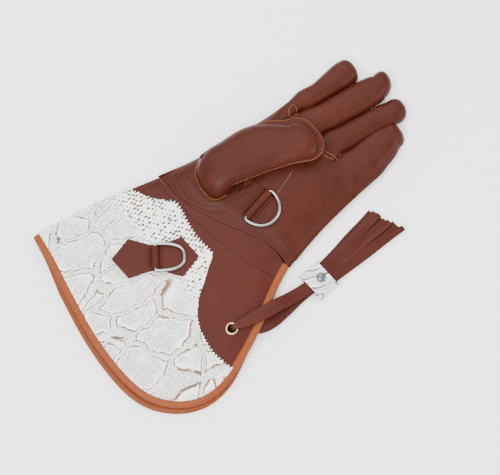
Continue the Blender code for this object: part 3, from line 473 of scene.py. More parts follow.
def finger_grid(number, under):
    """One finger's strip from the hem to its tip: rows along, columns across."""
    shape = tuple(FINGERS.values())[number]
    thick = FINGER_THICK * shape["thick"]
    columns = np.linspace(6 * number, 6 * number + 5.9999, 25)
    t = np.linspace(0, 1, 66)
    palm, local = palm_point(*np.meshgrid(columns, t), under=under)
    if not under:
        high = ease((palm[..., 2] - RIM_HEIGHT) / (2.5 * MM))
        palm[..., 2] -= 1.7 * MM * (1 - ease(t / 0.15))[:, None] * high
    share = ease((t - 0.78) / 0.22)[:, None] ** 1.5
    palm[..., 2] += (finger_height(local, thick, under, number) - palm[..., 2]) * share
    ends = [np.array(PALM_LINES[number + k][-3:]) for k in (0, 1)]
    rows = np.array(shape["rows"])
    edges = []
    for k in (0, 1):
        line = np.vstack([ends[k], rows[:, [1 + k, 0]]]) * (HAND_WIDTH, HAND_LENGTH)
        start = 2 / (len(line) - 1)
        edges.append(spline(line, np.linspace(start, 1, 50)[1:]))
    local = local[:1]
    place = edges[0][:, None] + (edges[1] - edges[0])[:, None] * ((local + 1) / 2)[..., None]
    crease = ease(np.linspace(4, 0, place.shape[0]))[:, None]
    high = finger_height(np.broadcast_to(local, place.shape[:2]), thick, under, number, crease)
    body = np.concatenate([place, high[..., None]], -1)
    s = np.sin(np.linspace(0, math.pi / 2, 17))[1:]
    shrink = (1 - s**2.4) ** (1 / 2.4)
    middle, half = (edges[0][-1] + edges[1][-1]) / 2, (edges[1][-1] - edges[0][-1]) / 2
    tip = np.array(shape["tip"])[::-1] * (HAND_WIDTH, HAND_LENGTH)
    centre = middle + (tip - middle) * s[:, None]
    place = centre[:, None] + half * (shrink[:, None] * local)[..., None]
    high = RIM_HEIGHT + (finger_height(local, thick, under, number, 0.0) - RIM_HEIGHT) * shrink[:, None]
    cap = np.concatenate([place, high[..., None]], -1)
    return np.vstack([palm, body, cap])


print("index finger's upper strip:", finger_grid(0, False).shape)

# %% [markdown]
# A relief is a set of ridges along drawn lines and round dents: the height of a ridge falls off as
# exp(-(distance / width)^2). Lines are given in millimetres on the table.

# %% Lines and relief
THUMB_SEAM = (
    (-66, -2), (-60, -8), (-55, -12), (-48, -14), (-41, -15), (-34, -14), (-27, -12), (-23, -7), (-22, 3),
)
HEM_STITCH = ((-69, -46), (-52, -43), (-38, -39), (-21, -36), (0, -30), (23, -22), (43, -14), (65, -1))
BASE_STITCH = ((-61, -33), (-47, -35), (-38, -33), (-25, -25), (-17, -18), (-10, -6))
BASE_STITCH_2 = ((-67, -26), (-53, -29), (-41, -29), (-28, -22), (-20, -12), (-15, 0))
PATCH = ((-69, -14), (-60, -19), (-46, -20), (-30, -19), (-24, -15), (-17, -2), (-16, 16), (-18, 24))
INNER_PATCH = ((-67, -8), (-56, -16), (-43, -18), (-30, -16), (-22, -9), (-19, 2), (-19, 18))


def line_distance(place, line):
    """Distance from each point to a drawn line: the least over its segments, in metres."""
    line = np.asarray(line, float) * MM
    least = np.full(place.shape[:-1], 1.0)
    for a, b in zip(line[:-1], line[1:]):
        along = np.clip(((place - a) @ (b - a)) / ((b - a) @ (b - a)), 0, 1)
        least = np.minimum(least, np.linalg.norm(place - a - along[..., None] * (b - a), axis=-1))
    return least


def waves(x, y):
    """Slow uneven swell of soft leather: a sum of sines of incommensurate lengths, between -1 and 1."""
    return (
        np.sin(61 * x + 37 * y + 1.3) + np.sin(97 * y - 53 * x + 0.4) + 0.6 * np.sin(151 * x + 113 * y)
        + 0.5 * np.sin(211 * x - 173 * y + 2.0)
    ) / 3.1


def hand_relief(grid):
    """Height added to the top of the hand: seams of the thumb patch, the hem's ridge, dents and swell."""
    place = grid[..., :2]
    x, y = place[..., 0], place[..., 1]
    added = 0.7 * MM * hump(line_distance(place, PATCH) / (1.3 * MM))
    added += 0.5 * MM * hump(line_distance(place, INNER_PATCH) / MM)
    added -= 0.35 * MM * hump(line_distance(place, BASE_STITCH) / (1.2 * MM))
    added -= 1.5 * MM * hump((x + 8.5 * MM) / (7 * MM), (y - 107 * MM) / (7 * MM))
    added -= 1.2 * MM * hump((x - 30 * MM) / (16 * MM), (y - 60 * MM) / (30 * MM))
    added += 0.45 * MM * waves(x, y) * ease((y + 0.03) / 0.03)
    return added


def hand_grids():
    """Each finger's upper strip with its relief, followed by its lower strip."""
    made = []
    for number in range(4):
        top = finger_grid(number, False)
        full = ease((top[..., 2] - RIM_HEIGHT) / (3 * MM))
        top[..., 2] += hand_relief(top) * full
        made += [top, finger_grid(number, True)]
    return made


HAND_GRIDS = hand_grids()
hand = many("glove_hand", HAND_GRIDS, [BROWN, RAW_EDGE_AND_CREST_HIGHLIGHT], False)
weld(hand, 0.03 * MM)
thicken(hand, LEATHER)
finish_piece(hand, "brown_leather", "hand")

# %% [markdown]
# What is laid on the glove needs the height under it. The ground is a grid of heights, 0.5 mm apart,
# that keeps the highest point of every surface added to it and answers with the height at any place.

# %% The ground under loose pieces
class Ground:
    """Heights on a square grid; empty cells take the highest of their neighbours."""

    def __init__(self, start=(-0.1, -0.19), size=(0.24, 0.4), step=0.5 * MM):
        self.start, self.step = np.array(start), step
        self.high = np.zeros((np.array(size) / step).astype(int))

    def add(self, grid, finer=4):
        """Raises the heights to a surface, read at this many points between its own in both directions."""
        rows, columns = grid.shape[:2]
        r = np.linspace(0, rows - 1, rows * finer)
        c = np.linspace(0, columns - 1, columns * finer)
        i, j = np.minimum(r.astype(int), rows - 2), np.minimum(c.astype(int), columns - 2)
        fr, fc = (r - i)[:, None, None], (c - j)[None, :, None]
        low = grid[i][:, j] * (1 - fc) + grid[i][:, j + 1] * fc
        high = grid[i + 1][:, j] * (1 - fc) + grid[i + 1][:, j + 1] * fc
        dense = (low * (1 - fr) + high * fr).reshape(-1, 3)
        last = np.array(self.high.shape) - 1
        cell = np.clip(((dense[:, :2] - self.start) / self.step).astype(int), 0, last)
        np.maximum.at(self.high, (cell[:, 0], cell[:, 1]), dense[:, 2])
        for _ in range(2):
            around = np.stack([np.roll(self.high, shift, axis) for axis in (0, 1) for shift in (-1, 1)])
            filled = np.where((around > 0).sum(0) > 2, around.max(0), 0)
            self.high = np.where(self.high > 0, self.high, filled)

    def at(self, x, y):
        """The height at a place, between the four cells round it."""
        px = np.clip((np.asarray(x) - self.start[0]) / self.step - 0.5, 0, self.high.shape[0] - 2)
        py = np.clip((np.asarray(y) - self.start[1]) / self.step - 0.5, 0, self.high.shape[1] - 2)
        i, j = px.astype(int), py.astype(int)
        fx, fy = px - i, py - j
        low = self.high[i, j] * (1 - fx) + self.high[i + 1, j] * fx
        high = self.high[i, j + 1] * (1 - fx) + self.high[i + 1, j + 1] * fx
        return low * (1 - fy) + high * fy


ground = Ground()
for grid in HAND_GRIDS[::2]:
    ground.add(grid)


def draw(line, step=1.0 * MM):
    """A drawn line in millimetres as close points on its smooth curve, in metres."""
    line = np.asarray(line, float) * MM
    fine = spline(line, np.linspace(0, 1, 400))
    run = run_along(fine)
    return at_run(np.linspace(0, run[-1], max(int(run[-1] / step) + 1, 2)), run, fine)


def laid(line, lift=0.0, step=1.0 * MM):
    """A drawn line laid on the ground, raised by a little."""
    flat = draw(line, step) if np.abs(np.asarray(line)).max() > 1 else np.asarray(line, float)
    return np.column_stack([flat[:, :2], ground.at(flat[:, 0], flat[:, 1]) + lift])


def sweep(path, section, up=(0, 0, 1), scale=None):
    """A closed section carried along a path: path + side * a + up * b for every (a, b) of the section."""
    path, section = np.asarray(path, float), np.asarray(section, float)
    tangent = unit(np.gradient(path, axis=0))
    side = unit(np.cross(tangent, np.broadcast_to(up, path.shape)))
    above = np.cross(side, tangent)
    scale = np.ones(len(path)) if scale is None else scale
    section = section[None] * scale[:, None, None]
    return path[:, None] + side[:, None] * section[..., :1] + above[:, None] * section[..., 1:]


def oval(width, height, count=16, power=2.0):
    """A closed oval section: (|cos|^(2/p) width/2, |sin|^(2/p) height/2) with their signs."""
    turn = np.linspace(0, 2 * math.pi, count, endpoint=False)
    c, s = np.cos(turn), np.sin(turn)
    return np.column_stack([
        np.sign(c) * np.abs(c) ** (2 / power) * width / 2, np.sign(s) * np.abs(s) ** (2 / power) * height / 2
    ])


def rounded_ends(count, rows=6):
    """Scale along a path of this many points that closes both ends round."""
    end = np.sqrt(1 - (1 - np.linspace(0, 1, rows)) ** 2)
    return np.concatenate([end, np.ones(max(count - 2 * rows, 0)), end[::-1]])[:count]


def stitches(lines, length=1.8 * MM, gap=1.4 * MM, width=0.85 * MM, sunk=0.1 * MM):
    """Every stitch of a row: a small rounded bar laid along the line, its ends dipped into the leather."""
    place = np.linspace(-1, 1, 7)
    turn = np.linspace(0, 2 * math.pi, 8, endpoint=False)
    size = np.sqrt(np.clip(1 - place**4, 0, 1))
    bars = []
    for line in lines:
        run = run_along(line)
        centres = np.arange(length / 2, run[-1] - length / 2, length + gap)
        spine = at_run(centres[:, None] + place * length / 2, run, line)
        spine[..., 2] += width * 0.25 - sunk - (place**4) * width * 0.6
        ahead = unit(spine[:, -1, :2] - spine[:, 0, :2])
        side = np.column_stack([ahead[:, 1], -ahead[:, 0], np.zeros(len(ahead))])
        ring = side[:, None, None] * np.cos(turn)[:, None] + np.array([0, 0, 1]) * np.sin(turn)[:, None]
        bars.append(spine[:, :, None] + ring * (size * width / 2)[:, None, None])
    bars = np.vstack(bars)
    one = grid_faces(7, 8, False, True)
    faces = (one[None] + 56 * np.arange(len(bars))[:, None, None]).reshape(-1, 4)
    return bars.reshape(-1, 3), faces


print("ground:", ground.high.shape, "highest", round(ground.high.max() * 1000, 1), "mm")

# %% [markdown]
# The cuff is one sheet: from the vent over the front panel, round the fold on the thumb side and back
# along the rear panel. Each point lies on the way from the hand's hem to the bound edge. The leather's
# outer and inner faces are both drawn and joined, so its wall is even and stays above the table.

# %% The cuff's surface
EDGE = spline(CUFF_EDGE, np.linspace(0, 1, 481)) * (CUFF_WIDTH, CUFF_LENGTH)
EDGE_RUN = run_along(EDGE)
EDGE_TOTAL = EDGE_RUN[-1]
SHEET_HEIGHT = PALM_THICK - LEATHER - 0.5 * MM


def cuff_point(column, share, back=False, inset=0.0):
    """Cuff at a column 0..23 and a share 0..1 of the way from the hem to the edge, on either panel."""
    column, share = np.broadcast_arrays(np.asarray(column, float), np.asarray(share, float))
    depth = LEATHER + 0.5 * MM + inset
    start = column * 24 / 23
    hem, _ = palm_point(start, np.zeros_like(column), depth, back)
    above, _ = palm_point(start, np.full_like(column, 0.09), depth, back)
    run = np.linalg.norm((above - hem)[..., :2], axis=-1, keepdims=True)
    start = hem - (above - hem) * 2 * MM / run
    reaches = (0, 0.15 * FOLD_REACH, 0.5 * FOLD_REACH, FOLD_REACH, EDGE_TOTAL)
    distance = np.interp(column, (0, 1, 2, 3, 23), reaches)
    step = 2 * MM
    ahead, behind = np.minimum(distance + step, EDGE_TOTAL), np.maximum(distance - step, 0)
    along = unit(at_run(ahead, EDGE_RUN, EDGE) - at_run(behind, EDGE_RUN, EDGE))
    outward = np.stack([along[..., 1], -along[..., 0]], -1)
    foot = at_run(distance, EDGE_RUN, EDGE)
    part = distance / EDGE_TOTAL
    if back:
        table = np.array(BACK_REACH)
        foot = foot + outward * (np.interp(part, table[:, 0], table[:, 1]) * BINDING_WIDTH)[..., None]
    fold = np.clip(1 - distance / FOLD_REACH, 0, 1)
    shift = np.stack([fold * inset, 0 * fold], -1)
    plan = start[..., :2] + (foot + shift - start[..., :2]) * share[..., None]
    vent = np.clip(4 * part - 3, 0, 1)
    bow = np.stack([fold * 3 * MM, 0 * fold], -1) + outward * (vent * 4 * MM)[..., None]
    plan = plan - bow * np.sin(math.pi * share)[..., None]
    roll = np.sqrt(1 - fold**2)
    if back:
        rest = ease((share - 0.8) / 0.15) * (TAPE + FIT)
        target = RIM_HEIGHT - (RIM_HEIGHT - rest - inset) * roll
        high = start[..., 2] + (target - start[..., 2]) * ease(share * 4)
    else:
        table = np.array(EDGE_HEIGHT)
        top = SHEET_HEIGHT * np.interp(part, table[:, 0], table[:, 1])
        target = RIM_HEIGHT + (top - inset - RIM_HEIGHT) * roll
        high = start[..., 2] + (target - start[..., 2]) * ease(share)
    return np.concatenate([plan, high[..., None]], -1), outward


FINE = np.concatenate([np.linspace(0, 3, 25), np.linspace(3, 23, 121)[1:]])
SHARES = np.linspace(-0.03, 0.985, 75)
front, _ = cuff_point(*np.meshgrid(FINE, SHARES))
faces_of_wall = []
for depth in (0.0, LEATHER):
    panel, _ = cuff_point(*np.meshgrid(FINE[::-1], SHARES), inset=depth)
    under, _ = cuff_point(*np.meshgrid(FINE[1:], SHARES), back=True, inset=depth)
    faces_of_wall.append(np.concatenate([panel, under], 1))
loops = np.concatenate([faces_of_wall[1], faces_of_wall[0][::-1]]).transpose(1, 0, 2)
middle = (loops + loops[:, ::-1]) / 2
cuff_grid = np.concatenate([middle[:1], loops, middle[-1:]])
cuff = grid_object("glove_cuff", cuff_grid, [CUFF_BROWN], wrap_columns=True)
weld(cuff, 0.001 * MM)
finish_piece(cuff, "brown_leather", "gauntlet")
ground.add(front)

# %% [markdown]
# Tan tape is folded over the cuff's whole edge, down both sides of the vent too. It is a flattened round
# section carried along the edge, because a swept section keeps its width where the edge turns sharply.

# %% The bound edge
def bound_path(back_side, columns):
    """Middle of the tape: half the tape's width in from the edge, at the sheet's middle height."""
    edge, outward = cuff_point(columns, np.ones_like(columns), back_side, LEATHER / 2)
    edge[:, :2] -= outward * BINDING_WIDTH * 0.42
    return edge


columns = np.linspace(0, 23, 260)
path = np.vstack([bound_path(False, columns[::-1]), bound_path(True, columns[1:])])
path = np.vstack([path[:1], (path[:-2] + 2 * path[1:-1] + path[2:]) / 4, path[-1:]])
reach = np.linspace(9, 1, 9)[:, None] * MM
ends = unit(np.array([path[0] - path[4], path[-1] - path[-5]]))
path = np.vstack([path[0] + ends[0] * reach, path, path[-1] + ends[1] * reach[::-1]])
tangent = unit(np.gradient(path, axis=0))
columns = np.concatenate([np.full(9, 23.0), columns[::-1], columns[1:], np.full(9, 23.0)])
_, outward = cuff_point(columns, np.ones_like(columns))
outward = np.column_stack([outward, np.zeros(len(columns))])
normal = unit(np.cross(outward, tangent))
section = oval(BINDING_WIDTH * 1.06, LEATHER + 3.4 * TAPE, 28, 2.5)
tape_grid = sweep(path, section, normal, rounded_ends(len(path), 4))
tape = grid_object("glove_binding", tape_grid, [TAN_TAPE], wrap_columns=True)
finish_piece(tape, "tan_tape", "binding")
ground.add(np.concatenate([tape_grid, tape_grid[:, :1]], 1)[:270])

# %% [markdown]
# A leaf of leather lies a little above the surface under it: the same surface, moved along its normals.
# The printed leather starts at its pinked edge, a zigzag along the drawn line, and ends under the tape.

# %% Printed leather with its pinked edge
def raised(grid, by):
    """The surface moved along its normals, cross(d/dcolumn, d/drow), turned to face up on the whole."""
    normal = unit(np.cross(np.gradient(grid, axis=1), np.gradient(grid, axis=0)))
    if normal[..., 2].mean() < 0:
        normal = -normal
    return grid + normal * by


TOOTH = 3.5 * MM


def cut_line(teeth, inset=0.0):
    """The pinked edge: the drawn curve with a triangle wave of this height across it."""
    line = spline(PINKED_EDGE, np.linspace(0, 1, 1500)) * (CUFF_WIDTH, CUFF_LENGTH)
    step = np.gradient(line, axis=0)
    normal = unit(np.column_stack([-step[:, 1], step[:, 0]]))
    wave = 2 * np.abs(2 * (run_along(line) / TOOTH % 1) - 1) - 1
    return line + normal * (wave * teeth - inset)[:, None]


def print_starts(columns, teeth):
    """For each column, the first share of the way down at which it lies below the pinked edge."""
    shares = np.linspace(0, 1, 400)
    down, _ = cuff_point(*np.meshgrid(columns, shares))
    line = cut_line(teeth)
    order = np.argsort(line[:, 0])
    above = down[..., 1] - np.interp(down[..., 0], line[order, 0], line[order, 1])
    first = np.argmax(above < 0, axis=0)
    first = np.where(above[-1] > 0, 399, np.maximum(first, 1))
    pick = np.arange(len(columns))
    a, b = above[first - 1, pick], above[first, pick]
    return shares[first - 1] + shares[1] * np.clip(a / (a - b), 0, 1)


columns = np.concatenate([np.linspace(0, 3, 60), np.linspace(3, 23, 800)[1:]])
starts = print_starts(columns, 1.5 * MM)
columns, starts = columns[starts < 0.95], starts[starts < 0.95]
down = np.linspace(0, 1, 44)[:, None]
shares = starts + (0.972 - starts) * down
sheet, _ = cuff_point(np.broadcast_to(columns, shares.shape), shares)
wrap = np.linspace(0, 1.6, 14)[1:]
back_shares = np.broadcast_to(starts[0] + (0.972 - starts[0]) * down, (44, 13))
around, _ = cuff_point(np.broadcast_to(wrap, (44, 13)), back_shares, back=True)
print_grid = np.concatenate([around[:, ::-1], sheet], 1)
print_grid = raised(print_grid, FIT + 0.9 * MM)
overlay = grid_object("snake_leather", print_grid, [PRINT, RAW_EDGE_AND_CREST_HIGHLIGHT])
thicken(overlay, 1.0 * MM)
finish_piece(overlay, "snake_print", "snake_overlay")
ground.add(print_grid[:, 13:], 2)

# %% [markdown]
# The thumb lies over the palm. Its rows widen and narrow along it, its ends close round, and its palm
# side stands free of the hand. Its upper side is a full arch with one dent and a slow swell.

# %% The thumb
THUMB_ROWS = (
    (0.126, -0.467, 0.378), (0.22, -0.495, 0.43), (0.32, -0.5, 0.48), (0.5, -0.511, 0.567),
    (0.67, -0.411, 0.678), (0.76, -0.31, 0.77), (0.832, -0.189, 0.844),
)
THUMB_LENGTH, THUMB_WIDTH = 119 * MM, 45 * MM
THUMB_BASE = np.array((-45, -15)) * MM
THUMB_LIFT, THUMB_ABOVE, THUMB_BELOW = 6.5 * MM, 9 * MM, 5.6 * MM


def thumb_outline(shrink_tip=0.0):
    """Along, left, right and shrink of close rows, both ends closed round.

    There the half width is times (1 - s^2.4)^(1/2.4), and the shrink says the same of the height.
    """
    fine = spline(THUMB_ROWS, np.linspace(0, 1, 56))
    along, left, right = (fine * (THUMB_LENGTH, THUMB_WIDTH, THUMB_WIDTH)).T
    right = right - shrink_tip * ease((fine[:, 0] - 0.62) / 0.2) * 0.4
    left = left + shrink_tip * ease((fine[:, 0] - 0.6) / 0.2)
    s = np.sin(np.linspace(0, math.pi / 2, 20))[1:]
    shrink = (1 - s**2.4) ** (1 / 2.4)

    def closed(index, end_along, end_across):
        """The rows from a row of the outline to its end, where the middle comes to end_across."""
        middle, half = (left[index] + right[index]) / 2, (right[index] - left[index]) / 2
        middle = middle + (end_across - middle) * s
        rows = along[index] + (end_along - along[index]) * s
        return rows, middle - half * shrink, middle + half * shrink, shrink

    low = closed(0, 0.105 * THUMB_LENGTH, 0.0)
    high = closed(-1, THUMB_LENGTH - shrink_tip, 0.378 * THUMB_WIDTH - shrink_tip * 0.2)
    body = (along, left, right, np.ones(len(along)))
    return [np.concatenate([a[::-1], b, c]) for a, b, c in zip(low, body, high)]


def thumb_rim(along, share):
    """Height of the thumb's widest line at a share 0 (outer side) to 1 (the free fold on the palm's side)."""
    table = np.array(((0.0, 0.35), (0.3, 0.9), (0.7, 1.0), (1.0, 0.6)))
    part = along / THUMB_LENGTH
    lift = THUMB_LIFT * np.interp(part, table[:, 0], table[:, 1])
    rest = PALM_THICK + (FINGER_THICK * 1.06 - PALM_THICK) * ease((part - 0.6) / 0.2)
    return rest + FIT + 6 * MM + lift * (share - 0.36)


along, left, right, shrink = thumb_outline(4.5 * MM)
turn = np.linspace(0, 2 * math.pi, 72, endpoint=False)
local = -np.cos(turn)
over = np.sin(turn) >= 0
share = (local + 1) / 2
x = THUMB_BASE[0] + left[:, None] + (right - left)[:, None] * share
y = THUMB_BASE[1] + along[:, None] + 0 * share
full = (1 - np.abs(local) ** 3.0) ** 0.55
rim = thumb_rim(along[:, None], share)
starts_low = 0.1 + 0.9 * ease((y + 3 * MM) / (14 * MM))
top = rim + THUMB_ABOVE * full * shrink[:, None] * starts_low
low_side = rim - THUMB_BELOW * (1 - np.abs(local) ** 2.4) ** 0.5 * shrink[:, None]
dent = 1.1 * MM * hump((x + 38 * MM) / (13 * MM), (y - 52 * MM) / (28 * MM))
top = top - dent + 0.5 * MM * waves(x * 1.2, y * 1.2) * full
thumb_grid = np.stack([x, y, np.where(over, top, low_side)], -1)
thumb = grid_object("glove_thumb", thumb_grid, [BROWN, RAW_EDGE_AND_CREST_HIGHLIGHT], wrap_columns=True)
finish_piece(thumb, "brown_leather", "thumb")
ground.add(thumb_grid[:, :37])

# %% [markdown]
# A real thumb is two halves sewn together, so a flat flange runs round its tip and down its free side. It
# is a flat oval carried along the outline. Its width grows towards the tip, where the seam stands out.

# %% The sewn flange round the thumb
along, left, right, _ = thumb_outline()
# A tan cord is laid along this outline in the raw edges cell. Down the free side's fold it is a painted
# highlight on the crest.
edge = np.concatenate([
    np.stack([left, along, thumb_rim(along, 0.0)], -1)[14:],
    np.stack([right, along, thumb_rim(along, 1.0)], -1)[-2:21:-1],
]) + (*THUMB_BASE, 0)
run = run_along(edge)
edge = at_run(np.linspace(0, run[-1], 240), run, edge)
level = np.pad(edge[:, 2], 1, "edge")
edge[:, 2] = (level[:-2] + level[1:-1] + level[2:]) / 3
ahead = np.gradient(edge, axis=0)
inside = unit(np.column_stack([ahead[:, 1], -ahead[:, 0], np.zeros(len(edge))]))
wide = MM * (0.6 + 2.8 * ease((edge[:, 1] - 52 * MM) / (26 * MM)))
flange_path = edge + inside * wide[:, None]
flat = np.insert(np.repeat(wide[:, None], 2, 1), 2, 1.0, axis=1)[:, None]
side = sweep(flange_path, oval(2, 2.4 * MM, 16, 3.0)) - flange_path[:, None]
flange_grid = flange_path[:, None] + side * flat
flange = many("thumb_flange", [flange_grid], [BROWN])
finish_piece(flange, "brown_leather")
ground.add(flange_grid[:, :9])

# %% [markdown]
# Each D-ring hangs on a hinge, and its bar is that hinge's axis. Its wire is one closed sweep round the
# bar and a flattened half circle, and it rides its own body, so it can swing.

# %% D-rings
JOINTS = {joint["name"]: joint for joint in frame["joints"]}
WIRE = 3 * MM
TAB = 1.3 * MM
BAR_HEIGHT = FIT + TAB + 0.35 * MM + WIRE / 2


def bar_frame(joint):
    """A frame on the leather under a ring's bar: X along the bar, Z square to the leather."""
    x = Vector(JOINTS[joint]["axis"]).normalized()
    y = Vector((0, 0, 1)).cross(x).normalized()
    z = x.cross(y)
    place = Matrix((x, y, z)).transposed().to_4x4()
    place.translation = Vector(JOINTS[joint]["pos_m"]) - z * BAR_HEIGHT
    return place


def placed(points, matrix):
    """Points given in a frame, as points on the table."""
    matrix = np.array(matrix)
    return np.asarray(points, float) @ matrix[:3, :3].T + matrix[:3, 3]


def ring_path(width, depth, squareness, droop):
    """Bar and bow: x = w/2 |cos|^q, y = d |sin|^q, then turned down about the bar."""
    turn = np.linspace(0, math.pi, 90)
    c, s = np.cos(turn), np.sin(turn)
    bow = np.column_stack([width / 2 * np.sign(c) * np.abs(c) ** squareness, depth * s**squareness])
    bar = np.column_stack([np.linspace(-width / 2, width / 2, 40)[1:-1], np.zeros(38)])
    flat = np.vstack([bow, bar])
    for _ in range(9):
        flat = (np.roll(flat, 1, 0) + 2 * flat + np.roll(flat, -1, 0)) / 4
    x, y = flat.T
    return np.column_stack([x, math.cos(droop) * y, BAR_HEIGHT - math.sin(droop) * y])


def closed_sweep(path, section):
    """A section carried round a closed flat path; b stands along Z of the path's frame."""
    tangent = unit(np.roll(path, -1, 0) - np.roll(path, 1, 0))
    side = unit(np.cross(tangent, (0, 0, 1)))
    above = np.cross(side, tangent)
    return path[:, None] + side[:, None] * section[:, :1] + above[:, None] * section[:, 1:]


palm_frame, cuff_frame = bar_frame("palm_ring_swing"), bar_frame("cuff_ring_swing")
palm_droop = math.asin((BAR_HEIGHT - FIT - WIRE / 2) / (21 * MM))
for name, place, size, square, droop in (
    ("palm_ring", palm_frame, (36 * MM, 21 * MM), 0.95, palm_droop),
    ("cuff_ring", cuff_frame, (25 * MM, 26.5 * MM), 0.7, 0.0),
):
    loop = closed_sweep(ring_path(*size, square, droop), oval(WIRE, WIRE, 20))
    ring = grid_object(f"{name}_wire", placed(loop, place), [STEEL], wrap_rows=True, wrap_columns=True)
    finish_piece(ring, "steel", name, body=f"{name}_body")
print("rings on", list(JOINTS))

# %% [markdown]
# The tabs that hold the rings are leather leaves. The palm tab is a band folded round the bar, sewn to
# a patch that runs under the thumb; the cuff tab is a bow tie with a loop over its waist.

# %% Tabs
def leaf(name, outline, place, lift, thickness, rows, columns, material):
    """A flat leaf between (y, half width) rows in a frame, its surface slightly crowned.

    The crown is 0.25 mm * (1 - x^2) for x from -1 to 1 across, and the leaf rests on the ground.
    """
    y = np.linspace(outline[0][0], outline[-1][0], rows)
    half = np.interp(y, [a for a, _ in outline], [b for _, b in outline])
    across = np.sin(np.linspace(-math.pi / 2, math.pi / 2, columns))
    x = half[:, None] * across
    crown = 0.25 * MM * (1 - across**2) * np.minimum(half / (6 * MM), 1)[:, None]
    grid = placed(np.stack([x, y[:, None] + 0 * x, lift + thickness / 2 + crown], -1), place)
    grid[..., 2] = np.maximum(grid[..., 2], ground.at(grid[..., 0], grid[..., 1]) + 0.75 * thickness)
    made = grid_object(name, grid, [material, RAW_EDGE_AND_CREST_HIGHLIGHT])
    thicken(made, thickness, 1)
    return made, grid


def loop_band(width, foot, lift):
    """A band over the bar: a half round between two feet pressed flat beside it."""
    radius = BAR_HEIGHT - FIT + 0.1 * MM
    turn = np.linspace(0, math.pi, 33)
    arc = np.column_stack([radius * np.cos(turn), BAR_HEIGHT + (radius - 0.4 * MM) * np.sin(turn)])
    near = np.linspace(1, 0, 8)[:-1, None]
    right = arc[:1] * (1 - near) + near * [[foot, lift]]
    right[:, 1] = lift + (arc[0, 1] - lift) * (1 - near[:, 0]) ** 2.2
    left = right[::-1] * [-1, 1]
    profile = np.vstack([right, arc, left])
    x = np.linspace(-width / 2, width / 2, 20)
    return np.stack(np.broadcast_arrays(x[None], profile[:, :1], profile[:, 1:]), -1)


BOW_REACH, BOW_HALF = 39.5 * MM, 18.5 * MM
bow_shares = ((-1, 0.02), (-0.62, 1), (-0.12, 0.66), (0.12, 0.66), (0.62, 1), (1, 0.02))
bow_rows = [(along * BOW_REACH, wide * BOW_HALF) for along, wide in bow_shares]
patch_rows = [(-22 * MM, 14.6 * MM), (-5.2 * MM, 15.6 * MM)]
BAND = 1.1 * MM
for leaf_facts, band_name, band_facts, place, material, node in (
    (("bow_tie_tab", bow_rows, cuff_frame, FIT + 0.65 * MM, TAB, 81, 30), "bow_tie_loop",
     (20 * MM, 5.2 * MM, FIT + TAB), cuff_frame, CUFF_BROWN, "cuff_ring_tab"),
    (("palm_tab_patch", patch_rows, palm_frame, FIT - 0.2 * MM, 1.0 * MM, 30, 24), "palm_loop",
     (31.5 * MM, 6.0 * MM, FIT + 0.9 * MM), palm_frame, BROWN, "palm_ring_tab"),
):
    tab, tab_grid = leaf(*leaf_facts, material)
    finish_piece(tab, "brown_leather", node)
    ground.add(tab_grid)
    band = grid_object(band_name, placed(loop_band(*band_facts), place), [material, RAW_EDGE_AND_CREST_HIGHLIGHT])
    thicken(band, BAND, 1, True)
    finish_piece(band, "brown_leather")

# %% [markdown]
# The eyelet is a rolled brass ring turned about its own axis, in a hole cut through the front panel.

# %% Eyelet and its hole
def lathe(profile, count, place):
    """A (radius, height) profile turned about Z: (r cos a, r sin a, h)."""
    r, h = np.asarray(profile, float).T[..., None]
    turn = np.linspace(0, 2 * math.pi, count, endpoint=False)
    return placed(np.stack([r * np.cos(turn), r * np.sin(turn), h + 0 * turn], -1), place)


eyelet_low, eyelet_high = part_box("eyelet")
EYELET = np.array(((eyelet_low.x + eyelet_high.x) / 2, (eyelet_low.y + eyelet_high.y) / 2))
eyelet_z = eyelet_high.z - 1.3 * MM
level = Matrix.Translation((*EYELET, eyelet_z))
turn = np.linspace(-0.6, math.pi + 0.3, 18)
roll = np.column_stack([4.9 * MM + 1.1 * MM * np.cos(turn), 0.35 * MM + 0.95 * MM * np.sin(turn)])
barrel = np.array([(3.75 * MM, -0.4 * MM), (3.7 * MM, -2.0 * MM), (3.7 * MM, -3.4 * MM)])
brass = grid_object("brass_eyelet", lathe(np.vstack([roll, barrel]), 48, level), [BRASS], wrap_columns=True)
finish_piece(brass, "brass", "eyelet")
drill = np.array([(0, -3), (4.2, -3), (4.2, 3), (0, 3)]) * MM
hole = grid_object("eyelet_hole", lathe(drill, 32, level), [DEEP], wrap_columns=True)
trim = cuff.modifiers.new("hole", "BOOLEAN")
trim.operation, trim.solver, trim.object = "DIFFERENCE", "EXACT", hole
bpy.context.view_layer.update()
bpy.context.view_layer.objects.active = cuff
for step in list(cuff.modifiers):
    bpy.ops.object.modifier_apply(modifier=step.name)
bpy.data.objects.remove(hole, do_unlink=True)
print("eyelet at", EYELET.round(4), "cuff now", len(cuff.data.polygons), "faces")

# %% [markdown]
# The tassel's strap goes down through the eyelet and comes back under the cuff's edge. It is a ribbon:
# a rounded bar section whose width follows the strap as it is pinched in the eyelet.

# %% The tassel's strap
def ribbon(path, side, width, thickness, round_power=4.0):
    """A flat section carried along a path with its width along the given side."""
    ahead = unit(np.gradient(path, axis=0))
    side = np.broadcast_to(np.asarray(side, float), path.shape)
    side = unit(side - ahead * np.sum(side * ahead, 1, keepdims=True))
    normal = np.cross(side, ahead)
    form = oval(1, 1, 20, round_power)
    width = np.broadcast_to(width, len(path))[:, None, None]
    return path[:, None] + side[:, None] * form[:, :1] * width + normal[:, None] * form[:, 1:] * thickness


